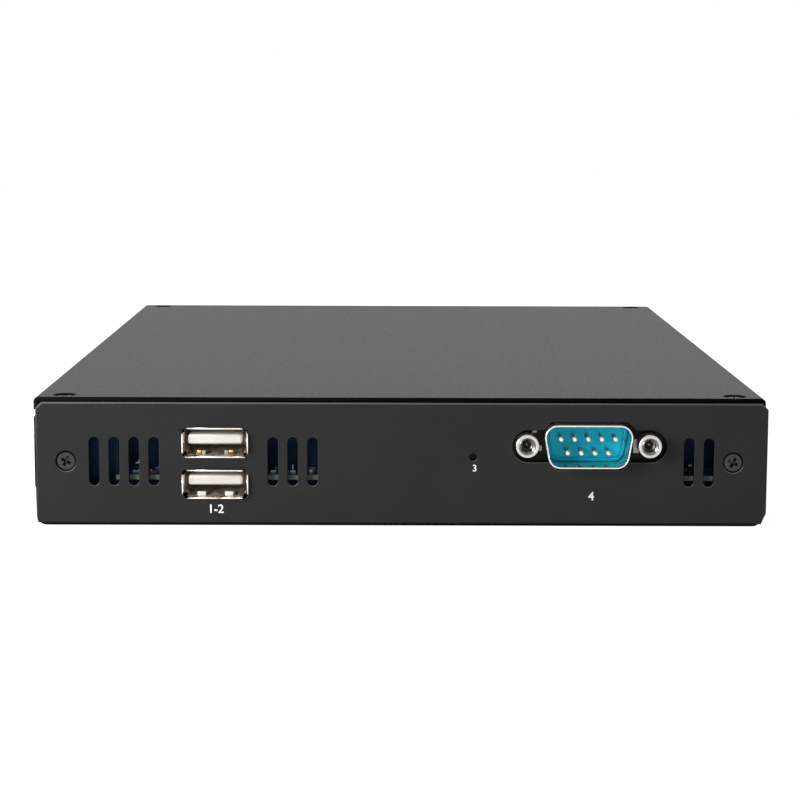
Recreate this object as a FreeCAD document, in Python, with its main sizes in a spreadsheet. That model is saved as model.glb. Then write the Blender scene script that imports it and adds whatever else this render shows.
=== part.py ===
import FreeCAD, Part
import os
import re
import Sketcher
from FreeCAD import Placement, Rotation, Vector

# A low steel box with a board inside. X runs right as seen from the front, Y runs back and Z up.
# The origin lies under the middle of the overall length, on the surface that the box stands on.

sizes = {
    # case, folded from steel sheet
    "case_width": 150.0,
    "case_depth": 200.0,  # from outer face to outer face of the two panels
    "lid_gap": 1.95,  # between the tallest jack and the cover
    "sheet": 0.8,
    "bend": 0.2,  # inside radius of the cover's and the tray's upper folds
    "floor_bend": 1.2,  # inside radius along the tray's floor
    "lip_height": 2.6,  # side lips of the cover, from its top face
    "wall_lean": 0.25,  # how much further in each tray wall stands at the floor than at the step
    "lip_gap": 0.15,  # between a lip and the wall that steps in behind it
    "step_drop": 4.1,  # from the case's top to where the tray's wall starts to step in
    "flange_width": 9.0,  # tray flange that the cover rests on
    "tab_reach": 9.0,  # tabs that the panels are screwed to
    "tab_height": 11.0,
    # front and rear panels
    "panel_sheet": 1.2,
    "panel_low": 0.6,
    "panel_gap": 0.1,  # between a panel and the folded sheets beside it
    "panel_shift": 0.45,  # the front panel sits this far to the right in its screw play
    "panel_round": 0.45,
    "panel_cut_side": 1.0,  # lower corners, clipped round the tray's floor bend
    "panel_cut_up": 2.3,
    "panel_cut_top": 1.3,
    "slot_width": 2.1,
    "slot_height": 10.0,
    "slot_pitch": 4.07,
    "slot_middle": 13.45,
    "left_slots": 4,
    "left_slot_in": 11.95,  # each row's outer slot, in from the panel's edge on its own side
    "middle_slots": 3,
    "middle_slot_in": 48.55,
    "right_slots": 2,
    "right_slot_in": 12.06,
    # screws
    "fit_gap": 0.02,  # between a screw and the sheet that it holds
    "cover_screw_side": 5.95,  # in from the case's sides
    "cover_screw_in": 4.6,  # and from its ends
    "cover_sink": 2.5,  # countersink radius
    "cover_head": 2.0,
    "cover_screw_long": 5.0,
    "panel_screw_side": 6.6,
    "panel_sink": 2.2,
    "panel_head": 1.8,
    "panel_shank": 1.0,
    "panel_screw_long": 5.0,
    "recess_reach": 0.85,
    "recess_width": 0.44,
    "recess_deep": 0.6,
    "recess_turn": 25.0,
    # bracket holes under the base
    "bracket_pitch": 75.0,
    "bracket_bore": 1.65,
    # board
    "board_left": 16.6,  # board edges, in from the case's sides
    "board_right": 3.4,
    "board_thick": 1.0,
    "board_gap": 0.3,
    "standoff_rise": 8.65,
    "standoff_across": 5.5,
    "hole_side": 4.0,  # board holes, in from its sides
    "hole_in": 50.0,  # and in from its front and rear edges
    "board_hole": 1.6,
    "board_head": 2.7,
    "board_shank": 1.25,
    "board_shank_long": 5.0,
    # processor and heat path
    "heat_shift": 1.4,  # to the right of the board's middle
    "heat_from_front": 84.0,
    "package_side": 31.0,
    "package_rise": 1.2,
    "die_side": 12.0,
    "die_rise": 0.8,
    "pad_thick": 0.5,
    "block_width": 58.0,
    "block_depth": 56.0,
    "leg_radius": 3.0,
    "leg_in": 5.0,
    "block_head": 2.5,
    "head_rise": 1.8,
    # memory and storage
    "memory_shift": 9.6,  # to the left of the board's middle
    "memory_from_front": 114.0,
    "memory_width": 67.6,
    "memory_deep": 30.0,
    "memory_rise": 2.2,
    "module_thick": 1.0,
    "chip_thick": 0.8,
    "socket_height": 4.0,
    "socket_deep": 6.5,
    "slot_bite": 3.0,  # how far a module's edge goes into its socket
    "storage_in": 13.6,  # in from the board's right edge
    "storage_from_front": 60.0,
    "storage_width": 22.0,
    "storage_long": 80.0,
    "storage_rise": 2.4,
    "storage_post": 2.2,
    # coin cell, chokes and capacitors
    "cell_in": 20.4,  # in from the board's left edge
    "cell_from_front": 43.0,
    "cell_radius": 10.0,
    "cell_thick": 3.2,
    "holder_wall": 1.2,
    "holder_floor": 1.0,
    "holder_bite": 1.2,  # of the cell's thickness held in the holder
    "choke_side": 7.0,
    "choke_rise": 4.0,
    "choke_pitch": 10.0,
    "can_in": 6.0,
    "can_from_front": 119.0,
    "can_radius": 3.15,
    "can_rise": 7.0,
    "can_pitch": 9.0,
    # clear switch behind the pinhole
    "pinhole_off": 23.45,  # to the left of the nine-pin port
    "pinhole_over": 4.0,  # above the board
    "pinhole": 0.75,
    "switch_width": 6.0,
    "switch_deep": 3.6,
    "switch_back": 2.4,  # from the panel's outer face to the switch's face
    "switch_rim": 1.0,
    "plunger": 1.1,
    "plunger_out": 0.8,
    "plunger_in": 1.2,
    "slide_gap": 0.15,
    "clear_travel": 0.25,
    # stacked pair of ports
    "port_in": 37.15,  # in from the case's left side
    "rear_port_in": 67.0,
    "port_drop": 1.67,  # lower mouth's middle, below the board's top
    "port_pitch": 8.5,
    "mouth_width": 12.5,
    "mouth_height": 5.12,
    "shell_wall": 0.3,
    "lip_flare": 0.3,
    "lip_thick": 0.35,
    "port_reach": 0.8,  # lips, ahead of the panel's face
    "port_window_gap": 0.2,
    "can_deep": 16.0,
    "tongue_width": 11.1,
    "tongue_thick": 1.84,
    "tongue_back": 1.2,  # from the lips to the tongue's tip
    "mouth_deep": 11.9,  # from the lips to the tongue's root
    "tongue_up": 0.75,  # the tongue's middle, above the mouth's
    "contact_width": 1.0,
    "contact_pitch": 2.25,
    "contact_thick": 0.15,
    # nine-pin port
    "serial_in": 36.55,  # in from the case's right side
    "serial_over": 6.7,  # above the board
    "serial_reach": 3.4,  # shell rim, ahead of the panel's face
    "serial_width": 17.8,
    "serial_height": 8.96,
    "serial_slope": 10.0,
    "serial_corner": 2.6,
    "serial_wall": 0.3,
    "serial_deep": 5.9,  # rim to flange
    "serial_flange": 0.5,
    "flange_long": 30.8,
    "flange_high": 12.5,
    "serial_face": 5.4,  # rim to insulator
    "boss_inset": 1.17,
    "boss_rise": 0.5,
    "serial_block": 8.0,
    "pin_radius": 0.5,
    "pin_pitch": 2.77,
    "pin_rows": 2.84,
    "pin_back": 0.7,  # pin tips, behind the rim
    "jack_spacing": 24.99,
    "jack_radius": 2.5,
    "jack_bore": 1.2,
    "jack_bore_deep": 4.0,
    "jack_chamfer": 0.25,
    "jack_reach": 3.2,
    "jack_stud": 1.4,
    "jack_stud_long": 4.0,
    "bracket_side": 6.0,
    "bracket_deep": 5.0,
    "serial_cut_side": 0.45,  # the cut-out lies to the right of the port and below it
    "serial_cut_drop": 0.4,
    "serial_lobe": 3.3,
    "cut_half_high": 4.95,
    "cut_half_top": 7.8,
    "cut_half_low": 6.6,
    # network jacks
    "network_in": 88.0,
    "network_pitch": 20.0,
    "network_width": 16.0,
    "network_height": 13.4,
    "network_deep": 16.0,
    "network_proud": 0.4,
    "network_mouth": 11.7,
    "network_mouth_high": 6.7,
    "network_mouth_low": 4.5,  # mouth's lower edge, above the board
    "network_latch": 6.2,
    "network_latch_high": 1.8,
    "network_mouth_deep": 12.5,
    # video port
    "video_in": 48.0,
    "video_over": 3.0,  # its middle, above the board
    "video_width": 14.0,
    "video_height": 4.6,
    "video_corner": 1.4,
    "video_deep": 11.0,
    # power jack
    "jack_in": 32.0,
    "jack_width": 9.0,
    "jack_height": 11.0,
    "jack_deep": 13.5,
    "jack_mouth": 3.1,
    "jack_mouth_deep": 10.0,
    "jack_pin": 1.05,
    # power button and lamp
    "button_in": 21.0,
    "button_over": 4.05,
    "button_radius": 3.0,
    "button_proud": 1.5,
    "button_rim": 3.7,
    "button_rim_thick": 0.8,
    "button_rim_gap": 0.3,
    "button_stem": 1.3,
    "button_stem_in": 1.2,
    "button_travel": 1.0,
    "button_hole_gap": 0.15,
    "button_switch": 7.0,
    "button_switch_deep": 6.0,
    "lamp_in": 26.1,
    "lamp_radius": 1.0,
    "lamp_proud": 0.3,
    "lamp_long": 5.0,
}

# places worked out from the sizes
front = "((serial_reach - button_proud - case_depth) / 2)"  # the front panel's outer face
rear = "((serial_reach - button_proud + case_depth) / 2)"
middle = "((serial_reach - button_proud) / 2)"
left, right = "(-case_width / 2)", "(case_width / 2)"
board_low = "(sheet + standoff_rise)"
board_top = "(sheet + standoff_rise + board_thick)"
lid_under = f"({board_top} + network_height + lid_gap)"
case_top = f"({lid_under} + sheet)"
board_front = f"({front} + panel_sheet + board_gap)"
board_rear = f"({rear} - panel_sheet - board_gap)"
board_middle = "((board_left - board_right) / 2)"
board_width = "(case_width - board_left - board_right)"
wall_length = "(case_depth - 2 * panel_sheet)"
slot_gap = "slot_pitch * (right_slots - 1)"
cover_screw, panel_screw = "(case_width / 2 - cover_screw_side)", "(case_width / 2 - panel_screw_side)"
cover_tap = "(cover_sink - sheet)"  # the countersink reaches right through the cover
heat_middle = f"({board_middle} + heat_shift)"
port_side, rear_port_side = f"({left} + port_in)", f"({left} + rear_port_in)"
port_lower = f"({board_top} - port_drop)"
port_levels = (port_lower, f"({port_lower} + port_pitch)")
serial_side, serial_rise = f"({right} - serial_in)", f"({board_top} + serial_over)"
pinhole_side, pinhole_rise = f"({serial_side} - pinhole_off)", f"({board_top} + pinhole_over)"
network_side, video_side = f"({left} + network_in)", f"({left} + video_in)"
jack_side, lamp_side = f"({left} + jack_in)", f"({left} + lamp_in)"
button_side, button_rise = f"({left} + button_in)", f"({board_top} + button_over)"

doc = FreeCAD.newDocument("industrial_pc")
sheet = doc.addObject("Spreadsheet::Sheet", "sizes")
for line, (name, size) in enumerate(sizes.items(), 1):
    sheet.set(f"A{line}", name)
    sheet.set(f"B{line}", str(size))
    sheet.setAlias(f"B{line}", name)
doc.recompute()

nodes = []


def linked(text):
    """The same sum, with each size's name pointed at its cell."""
    return re.sub(r"[a-z]\w*", lambda word: "sizes." * (word[0] in sizes) + word[0], str(text))


def value(text):
    """What a sum of sizes comes to."""
    return float(doc.getObject("probe").evalExpression(linked(text)))


def bind(thing, settings):
    for setting, text in settings.items():
        thing.setExpression(setting, linked(text))


def node(kind, label, x="0", y="0", z="0", turn=None):
    """A new sub-part, placed in the case."""
    piece = doc.addObject(kind, label)
    piece.Label = label
    if turn:
        piece.Placement = Placement(Vector(), turn)
    bind(piece, {"Placement.Base.x": x, "Placement.Base.y": y, "Placement.Base.z": z})
    nodes.append(piece)
    return piece


def body(label, x="0", y="0", z="0", turn=None):
    return node("PartDesign::Body", label, x, y, z, turn)


def block(label, width, depth, height, x, y, z):
    """A plain block, centred on x and starting at y and z."""
    piece = node("Part::Box", label, f"{x} - {width} / 2", y, z)
    bind(piece, {"Length": width, "Width": depth, "Height": height})
    return piece


def sketch(piece, plane, at="0"):
    """A sketch on the piece's own front, side or floor plane, moved to a place along its axis."""
    role, sign = {"front": ("XZ_Plane", "-"), "side": ("YZ_Plane", ""), "floor": ("XY_Plane", "")}[plane]
    drawing = piece.newObject("Sketcher::SketchObject", piece.Name + "_sketch")
    origin = next(part for part in piece.Origin.OriginFeatures if part.Role == role)
    drawing.AttachmentSupport = [(origin, "")]
    drawing.MapMode = "FlatFace"
    bind(drawing, {"AttachmentOffset.Base.z": f"{sign}({at})"})
    return drawing


def named(drawing, kind, *parts, text):
    """A constraint whose size follows the sheet."""
    number = drawing.addConstraint(Sketcher.Constraint(kind, *parts, value(text)))
    drawing.renameConstraint(number, f"size{number}")
    bind(drawing, {f"Constraints.size{number}": text})


def outline(drawing, corners, arcs=None):
    """A closed outline through the corners, anticlockwise. arcs gives the centre of a round side by its number."""
    arcs = arcs or {}
    first = drawing.GeometryCount
    spots = [Vector(value(a), value(b), 0) for a, b in corners]
    for side, (start, end) in enumerate(zip(spots, spots[1:] + spots[:1])):
        if side in arcs:
            centre = Vector(value(arcs[side][0]), value(arcs[side][1]), 0)
            angles = [Vector(1, 0, 0).getAngle(spot - centre) * (1 if spot.y >= centre.y else -1)
                      for spot in (start, end)]
            circle = Part.Circle(centre, Vector(0, 0, 1), (start - centre).Length)
            drawing.addGeometry(Part.ArcOfCircle(circle, *angles))
        else:
            drawing.addGeometry(Part.LineSegment(start, end))
    count = len(corners)
    for side in range(count):
        drawing.addConstraint(Sketcher.Constraint(
            "Coincident", first + side, 2, first + (side + 1) % count, 1))
        named(drawing, "DistanceX", -1, 1, first + side, 1, text=corners[side][0])
        named(drawing, "DistanceY", -1, 1, first + side, 1, text=corners[side][1])
    for side, centre in arcs.items():
        across = spots[(side + 1) % count] - spots[side]
        kind, text = ("DistanceY", centre[1]) if abs(across.x) > abs(across.y) else ("DistanceX", centre[0])
        named(drawing, kind, -1, 1, first + side, 3, text=text)


def rectangle(drawing, x, z, width, height):
    """A rectangle about its middle."""
    outline(drawing, [(f"{x} + {a} * {width} / 2", f"{z} + {b} * {height} / 2")
                      for a, b in ((-1, -1), (1, -1), (1, 1), (-1, 1))])


def circle(drawing, x, z, radius):
    number = drawing.GeometryCount
    drawing.addGeometry(Part.Circle(Vector(value(x), value(z), 0), Vector(0, 0, 1), value(radius)))
    named(drawing, "DistanceX", -1, 1, number, 3, text=x)
    named(drawing, "DistanceY", -1, 1, number, 3, text=z)
    named(drawing, "Radius", number, text=radius)


def upright_slot(drawing, x, z, width, height):
    """A slot with round ends."""
    left, right = f"{x} - {width} / 2", f"{x} + {width} / 2"
    low, high = f"{z} - ({height} - {width}) / 2", f"{z} + ({height} - {width}) / 2"
    outline(drawing, [(right, low), (right, high), (left, high), (left, low)],
            {1: (x, high), 3: (x, low)})


def feature(piece, kind, **settings):
    """The next feature of a body, which becomes its tip."""
    step = piece.newObject("PartDesign::" + kind, piece.Name + "_" + kind.lower())
    for setting, what in settings.items():
        setattr(step, setting, what)
    piece.Tip = step
    return step


def pad(piece, drawing, length, back=False):
    step = feature(piece, "Pad", Profile=drawing, Reversed=back)
    bind(step, {"Length": length})
    return step


def pocket(piece, drawing, depth, back=False):
    step = feature(piece, "Pocket", Profile=drawing, Reversed=back)
    bind(step, {"Length": depth})
    return step


def through(piece, drawing):
    return feature(piece, "Pocket", Profile=drawing, Type="ThroughAll", Midplane=True)


def repeat(piece, steps, drawing, rows):
    """Copies of the steps along the sketch's own axes: rows is a list of (axis, spacing, count)."""
    step = feature(piece, "LinearPattern", Originals=steps)
    for number, (axis, spacing, count) in zip(("", "2"), rows):
        setattr(step, "Direction" + number, (drawing, [axis]))
        bind(step, {"Length" + number: f"({spacing}) * ({count} - 1)", "Occurrences" + number: count})
    return step


def edges(step, test):
    """Names of the edges of a feature that pass a test on their middle and direction."""
    doc.recompute()
    names = []
    for number, edge in enumerate(step.Shape.Edges, 1):
        ends = [end.Point for end in edge.Vertexes]
        run = ends[-1] - ends[0]
        if test(edge.CenterOfGravity, run.normalize() if run.Length else run):
            names.append(f"Edge{number}")
    return names


def along(axis, spots):
    """A test for straight edges along an axis, through spots in the other two axes."""
    others = [part for part in (0, 1, 2) if part != axis]
    places = [[value(text) for text in spot] for spot in spots]

    def test(centre, run):
        return abs(run[axis]) > 0.999 and any(
            all(abs(centre[other] - place) < 1e-4 for other, place in zip(others, spot)) for spot in places)
    return test


def rounded(piece, step, test, radius):
    fillet = feature(piece, "Fillet", Base=(step, edges(step, test)))
    bind(fillet, {"Radius": radius})
    return fillet


def chamfered(piece, step, test, size):
    chamfer = feature(piece, "Chamfer", Base=(step, edges(step, test)))
    bind(chamfer, {"Size": size})
    return chamfer


facing_front = Rotation(Vector(1, 0, 0), 90)  # a piece turned along +Z then looks out of the front
facing_rear = Rotation(Vector(1, 0, 0), -90)


# ---- folded sheets ----

def top_cover():
    """A flat sheet with a short lip down each side, held by four countersunk screws."""
    length = f"({wall_length} - 2 * panel_gap)"
    cover = body("top_cover", y=f"{middle} - {length} / 2")
    half = "case_width / 2"
    lip = f"({case_top} - lip_height)"
    profile = sketch(cover, "front")
    outline(profile, [
        (f"-{half}", lip), (f"-{half} + sheet", lip), (f"-{half} + sheet", lid_under),
        (f"{half} - sheet", lid_under), (f"{half} - sheet", lip), (half, lip),
        (half, case_top), (f"-{half}", case_top)])
    folded = pad(cover, profile, length, back=True)
    outer = along(1, [(f"{sign}{half}", case_top) for sign in ("", "-")])
    folded = rounded(cover, folded, outer, "bend + sheet")
    inner = along(1, [(f"{sign}({half} - sheet)", lid_under) for sign in ("", "-")])
    rounded(cover, folded, inner, "bend")
    holes = sketch(cover, "floor", case_top)
    inset = "(cover_screw_in - panel_sheet - panel_gap)"
    spots = [(f"{sign}{cover_screw}", place) for sign in ("", "-") for place in (inset, f"{length} - {inset}")]
    for spot in spots:
        circle(holes, *spot, f"{cover_tap} + fit_gap")
    drilled = pocket(cover, holes, "sheet")
    top = value(case_top)
    sunk = [(value(x), value(y)) for x, y in spots]
    chamfered(cover, drilled, lambda at, run: abs(at.z - top) < 1e-4 and any(
        abs(at.x - x) < 1e-3 and abs(at.y - y) < 1e-3 for x, y in sunk), "sheet - 2 * fit_gap")


def chassis_tray():
    """Floor and side walls in one sheet: each wall steps in behind the cover's lip and folds into a flange."""
    tray = body("chassis_tray", y=f"{middle} - {wall_length} / 2")
    half = "(case_width / 2)"
    step_in = "(sheet + lip_gap)"
    slant = "(sheet * tan(22.5))"  # an inner corner of a 45 degree fold lags by this
    step = f"({case_top} - step_drop)"
    wall = [
        (half, step), (f"{half} - {step_in}", f"{step} + {step_in}"),
        (f"{half} - {step_in}", lid_under), (f"{half} - {step_in} - flange_width", lid_under),
        (f"{half} - {step_in} - flange_width", f"{lid_under} - sheet"),
        (f"{half} - {step_in} - sheet", f"{lid_under} - sheet"),
        (f"{half} - {step_in} - sheet", f"{step} + {step_in} - {slant}"),
        (f"{half} - sheet", f"{step} - {slant}"), (f"{half} - sheet - wall_lean", "sheet")]
    profile = sketch(tray, "front")
    foot = f"({half} - wall_lean)"
    outline(profile, [(f"-{foot}", "0"), (foot, "0")] + wall + [(f"-({x})", z) for x, z in reversed(wall)])
    folded = pad(tray, profile, wall_length, back=True)

    def both(*spots):
        return along(1, [(f"{sign}({x})", z) for x, z in spots for sign in ("", "-")])

    folded = rounded(tray, folded, both((foot, "0")), "floor_bend + sheet")
    folded = rounded(tray, folded, both(wall[8]), "floor_bend")
    folded = rounded(tray, folded, both(wall[0], wall[2], wall[6]), "bend + sheet")
    folded = rounded(tray, folded, both(wall[1], wall[5], wall[7]), "bend")
    for place, inward in (("0", True), (wall_length, False)):
        tabs = sketch(tray, "front", place)
        for sign in ("", "-"):
            rectangle(tabs, f"{sign}({half} - sheet / 2 - tab_reach / 2)", "slot_middle", "(tab_reach + sheet)",
                      "tab_height")
        pad(tray, tabs, "sheet", back=inward)
    taps = sketch(tray, "front")
    for sign in ("", "-"):
        circle(taps, f"{sign}{panel_screw}", "slot_middle", "panel_shank + fit_gap")
    through(tray, taps)
    flange_taps = sketch(tray, "floor", lid_under)
    for sign in ("", "-"):
        for place in ("cover_screw_in - panel_sheet", f"{wall_length} - cover_screw_in + panel_sheet"):
            circle(flange_taps, f"{sign}{cover_screw}", place, cover_tap)
    pocket(tray, flange_taps, "sheet")
    bores = sketch(tray, "floor", "sheet")
    for across in ("-", ""):
        for side in ("-", "+"):
            circle(bores, f"{across}bracket_pitch / 2", f"{wall_length} / 2 {side} bracket_pitch / 2", "bracket_bore")
    pocket(tray, bores, "sheet")


# ---- panels ----

def plate(label, x, y, back):
    """A panel blank: flat plate, corners clipped, outer edge rounded by its finish."""
    panel = body(label, x=x, y=y)
    half = "case_width / 2"
    high = f"({lid_under} - panel_gap)"
    corners = [
        (f"{half} - panel_cut_side", "panel_low"), (half, "panel_low + panel_cut_up"),
        (half, f"{high} - panel_cut_top"), (f"{half} - panel_cut_top", high)]
    blank = sketch(panel, "front")
    outline(blank, corners + [(f"-({x})", z) for x, z in reversed(corners)])
    solid = pad(panel, blank, "panel_sheet", back=back)
    rounded(panel, solid, lambda at, run: abs(at.y) < 1e-6, "panel_round")
    return panel


def sunk_holes(panel, shift):
    """Two countersunk holes for the panel's own screws."""
    holes = sketch(panel, "front")
    for sign in ("", "-"):
        circle(holes, f"{sign}{panel_screw} - {shift}", "slot_middle", "panel_shank + 5 * fit_gap")
    drilled = through(panel, holes)
    spots = [value(f"{sign}{panel_screw} - {shift}") for sign in ("", "-")]
    level = value("slot_middle")
    chamfered(panel, drilled, lambda at, run: abs(at.y) < 1e-6 and abs(at.z - level) < 1e-3 and any(
        abs(at.x - spot) < 1e-3 for spot in spots), "panel_sink - panel_shank - 5 * fit_gap")


def vents(panel, first, count):
    """A row of upright slots."""
    drawing = sketch(panel, "front")
    upright_slot(drawing, first, "slot_middle", "slot_width", "slot_height")
    cut = through(panel, drawing)
    repeat(panel, [cut], drawing, [("H_Axis", "slot_pitch", count)])


def port_windows(panel, side):
    """Windows for the two mouths of a stacked port."""
    windows = sketch(panel, "front")
    for level in port_levels:
        rectangle(windows, side, level, "(mouth_width + 2 * shell_wall + 2 * port_window_gap)",
                  "(mouth_height + 2 * shell_wall + 2 * port_window_gap)")
    return through(panel, windows)


def front_panel():
    panel = plate("front_panel", "panel_shift", front, True)
    sunk_holes(panel, "panel_shift")
    vents(panel, f"{left} + left_slot_in", "left_slots")
    vents(panel, f"{left} + middle_slot_in", "middle_slots")
    vents(panel, f"{right} - right_slot_in - {slot_gap}", "right_slots")
    port_windows(panel, f"{port_side} - panel_shift")
    holes = sketch(panel, "front")
    circle(holes, f"{pinhole_side} - panel_shift", pinhole_rise, "pinhole")
    side = f"({serial_side} + serial_cut_side - panel_shift)"
    level = f"({serial_rise} - serial_cut_drop)"
    lobe, shoulder = "jack_spacing / 2", "(cut_half_high - serial_lobe)"
    shape = [
        (lobe, "-serial_lobe"), (lobe, "serial_lobe"), (f"cut_half_top + {shoulder}", "serial_lobe"),
        ("cut_half_top", "cut_half_high"), ("-cut_half_top", "cut_half_high"),
        (f"-cut_half_top - {shoulder}", "serial_lobe"), (f"-{lobe}", "serial_lobe"),
        (f"-{lobe}", "-serial_lobe"), (f"-cut_half_low - {shoulder}", "-serial_lobe"),
        ("-cut_half_low", "-cut_half_high"), ("cut_half_low", "-cut_half_high"),
        (f"cut_half_low + {shoulder}", "-serial_lobe")]
    outline(holes, [(f"{side} + {x}", f"{level} + {z}") for x, z in shape],
            {0: (f"{side} + {lobe}", level), 6: (f"{side} - {lobe}", level)})
    through(panel, holes)


def rear_panel():
    panel = plate("rear_panel", "0", rear, False)
    sunk_holes(panel, "0")
    vents(panel, f"{right} - right_slot_in - {slot_gap}", "right_slots")
    port_windows(panel, rear_port_side)
    holes = sketch(panel, "front")
    for jack in (0, 1):
        rectangle(holes, f"{network_side} + {jack} * network_pitch", f"{board_top} + network_height / 2",
                  "(network_width + 2 * port_window_gap)", "(network_height + 2 * port_window_gap)")
    rectangle(holes, video_side, f"{board_top} + video_over",
              "(video_width + 2 * shell_wall + 2 * port_window_gap)",
              "(video_height + 2 * shell_wall + 2 * port_window_gap)")
    circle(holes, jack_side, f"{board_top} + jack_height / 2", "jack_mouth + port_window_gap")
    circle(holes, button_side, button_rise, "button_radius + button_hole_gap")
    circle(holes, lamp_side, button_rise, "lamp_radius + fit_gap")
    through(panel, holes)


# ---- screws ----

def recess(screws, at, reach, depth):
    """A cross recess in a screw head."""
    cross = sketch(screws, "floor", at)
    bind(cross, {"AttachmentOffset.Rotation.Angle": "recess_turn"})
    half = "recess_width / 2"
    arm = [(reach, f"-{half}"), (reach, half), (half, half)]
    corners = []
    for _ in range(4):
        corners += arm
        arm = [(f"-({b})", a) for a, b in arm]
    outline(cross, corners)
    return pocket(screws, cross, depth)


def flat_screw(label, place, turn, face, head, sink, shank, length):
    """A countersunk screw, its cone on the sheet's own cone. face is the sheet's face, up from the origin."""
    screws = body(label, *place, turn)
    profile = sketch(screws, "front")
    cone = f"({head} - fit_gap)"
    top = f"({face} - ({sink} - {head}))"
    outline(profile, [
        ("0", f"{top} - {length}"), (shank, f"{top} - {length}"), (shank, f"{top} - {cone} + {shank}"),
        (cone, top), ("0", top)])
    turned = feature(screws, "Revolution", Profile=profile, ReferenceAxis=(profile, ["V_Axis"]))
    return screws, [turned, recess(screws, top, "recess_reach", "recess_deep")]


def cover_screws():
    screws, steps = flat_screw(
        "cover_screws", (f"-{cover_screw}", f"{front} + cover_screw_in", case_top), None, "0",
        "cover_head", "cover_sink", f"({cover_tap} - fit_gap)", "cover_screw_long")
    repeat(screws, steps, sketch(screws, "floor"), [
        ("H_Axis", f"2 * {cover_screw}", "2"), ("V_Axis", "case_depth - 2 * cover_screw_in", "2")])


def panel_screws():
    """One screw, the same again in the rear panel, and both again at the other side."""
    screws, steps = flat_screw(
        "panel_screws", (f"-{panel_screw}", middle, "slot_middle"), facing_front, "case_depth / 2",
        "panel_head", "panel_sink", "panel_shank", "panel_screw_long")
    floor = sketch(screws, "floor")
    across = repeat(screws, [], floor, [("H_Axis", f"2 * {panel_screw}", "2")])
    about = feature(screws, "PolarPattern", Axis=(floor, ["V_Axis"]), Angle=360, Occurrences=2)
    feature(screws, "MultiTransform", Originals=steps, Transformations=[about, across])


def board_spots():
    """Places of the board's four holes: first, and how far apart."""
    side = f"{left} + board_left + hole_side"
    return side, f"{board_front} + hole_in", [
        ("H_Axis", f"{board_width} - 2 * hole_side", "2"),
        ("V_Axis", f"{board_rear} - {board_front} - 2 * hole_in", "2")]


def standoffs():
    x, y, rows = board_spots()
    posts = body("board_standoffs", x, y, "sheet")
    hexagon = sketch(posts, "floor")
    outline(hexagon, six_sides("(standoff_across / 2 / cos(30))"))
    post = pad(posts, hexagon, "standoff_rise")
    bore = sketch(posts, "floor", "standoff_rise")
    circle(bore, "0", "0", "board_shank + fit_gap")
    bored = pocket(posts, bore, "standoff_rise")
    repeat(posts, [post, bored], bore, rows)


def hex_screws(label, place, turn, across, length, rows):
    """Plain screws with six-sided heads, standing on their own faces."""
    screws = body(label, *place, turn)
    shank = sketch(screws, "floor")
    circle(shank, "0", "0", "board_shank")
    stem = pad(screws, shank, length, back=True)
    hexagon = sketch(screws, "floor")
    outline(hexagon, six_sides(across))
    head = pad(screws, hexagon, "head_rise")
    repeat(screws, [stem, head], hexagon, rows)


def six_sides(radius):
    return [(f"{radius} * cos({60 * n})", f"{radius} * sin({60 * n})") for n in range(6)]


def board_screws():
    x, y, rows = board_spots()
    hex_screws("board_screws", (x, y, board_top), None, "board_head", "board_shank_long", rows)


# ---- board and what stands on it ----

def motherboard():
    board = body("motherboard", z=board_low)
    near, far = f"({left} + board_left)", f"({right} - board_right)"
    notch = "(mouth_width / 2 + shell_wall + board_gap)"
    reach = "(can_deep + board_gap)"
    corner = f"({right} - sheet - tab_reach - board_gap)"  # clear of the tray's tabs
    plan = sketch(board, "floor")
    outline(plan, [
        (near, board_front), (f"{port_side} - {notch}", board_front),
        (f"{port_side} - {notch}", f"{board_front} + {reach}"),
        (f"{port_side} + {notch}", f"{board_front} + {reach}"), (f"{port_side} + {notch}", board_front),
        (corner, board_front), (corner, f"{board_front} + sheet"), (far, f"{board_front} + sheet"),
        (far, f"{board_rear} - sheet"), (corner, f"{board_rear} - sheet"), (corner, board_rear),
        (f"{rear_port_side} + {notch}", board_rear),
        (f"{rear_port_side} + {notch}", f"{board_rear} - {reach}"),
        (f"{rear_port_side} - {notch}", f"{board_rear} - {reach}"),
        (f"{rear_port_side} - {notch}", board_rear), (near, board_rear)])
    pad(board, plan, "board_thick")
    x, y, rows = board_spots()
    hole = sketch(board, "floor", "board_thick")
    circle(hole, x, y, "board_hole")
    drilled = pocket(board, hole, "board_thick")
    repeat(board, [drilled], hole, rows)
    legs = sketch(board, "floor", "board_thick")
    first, second = heat_spot()
    circle(legs, first, second, "board_shank + 5 * fit_gap")
    drilled = pocket(board, legs, "board_thick")
    repeat(board, [drilled], legs, leg_rows)


heat_y = f"({front} + heat_from_front)"
leg_rows = [("H_Axis", "block_width - 2 * leg_in", "2"), ("V_Axis", "block_depth - 2 * leg_in", "2")]


def heat_spot():
    """The first of the heat block's four legs."""
    return f"{heat_middle} - block_width / 2 + leg_in", f"{heat_y} - block_depth / 2 + leg_in"


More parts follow.
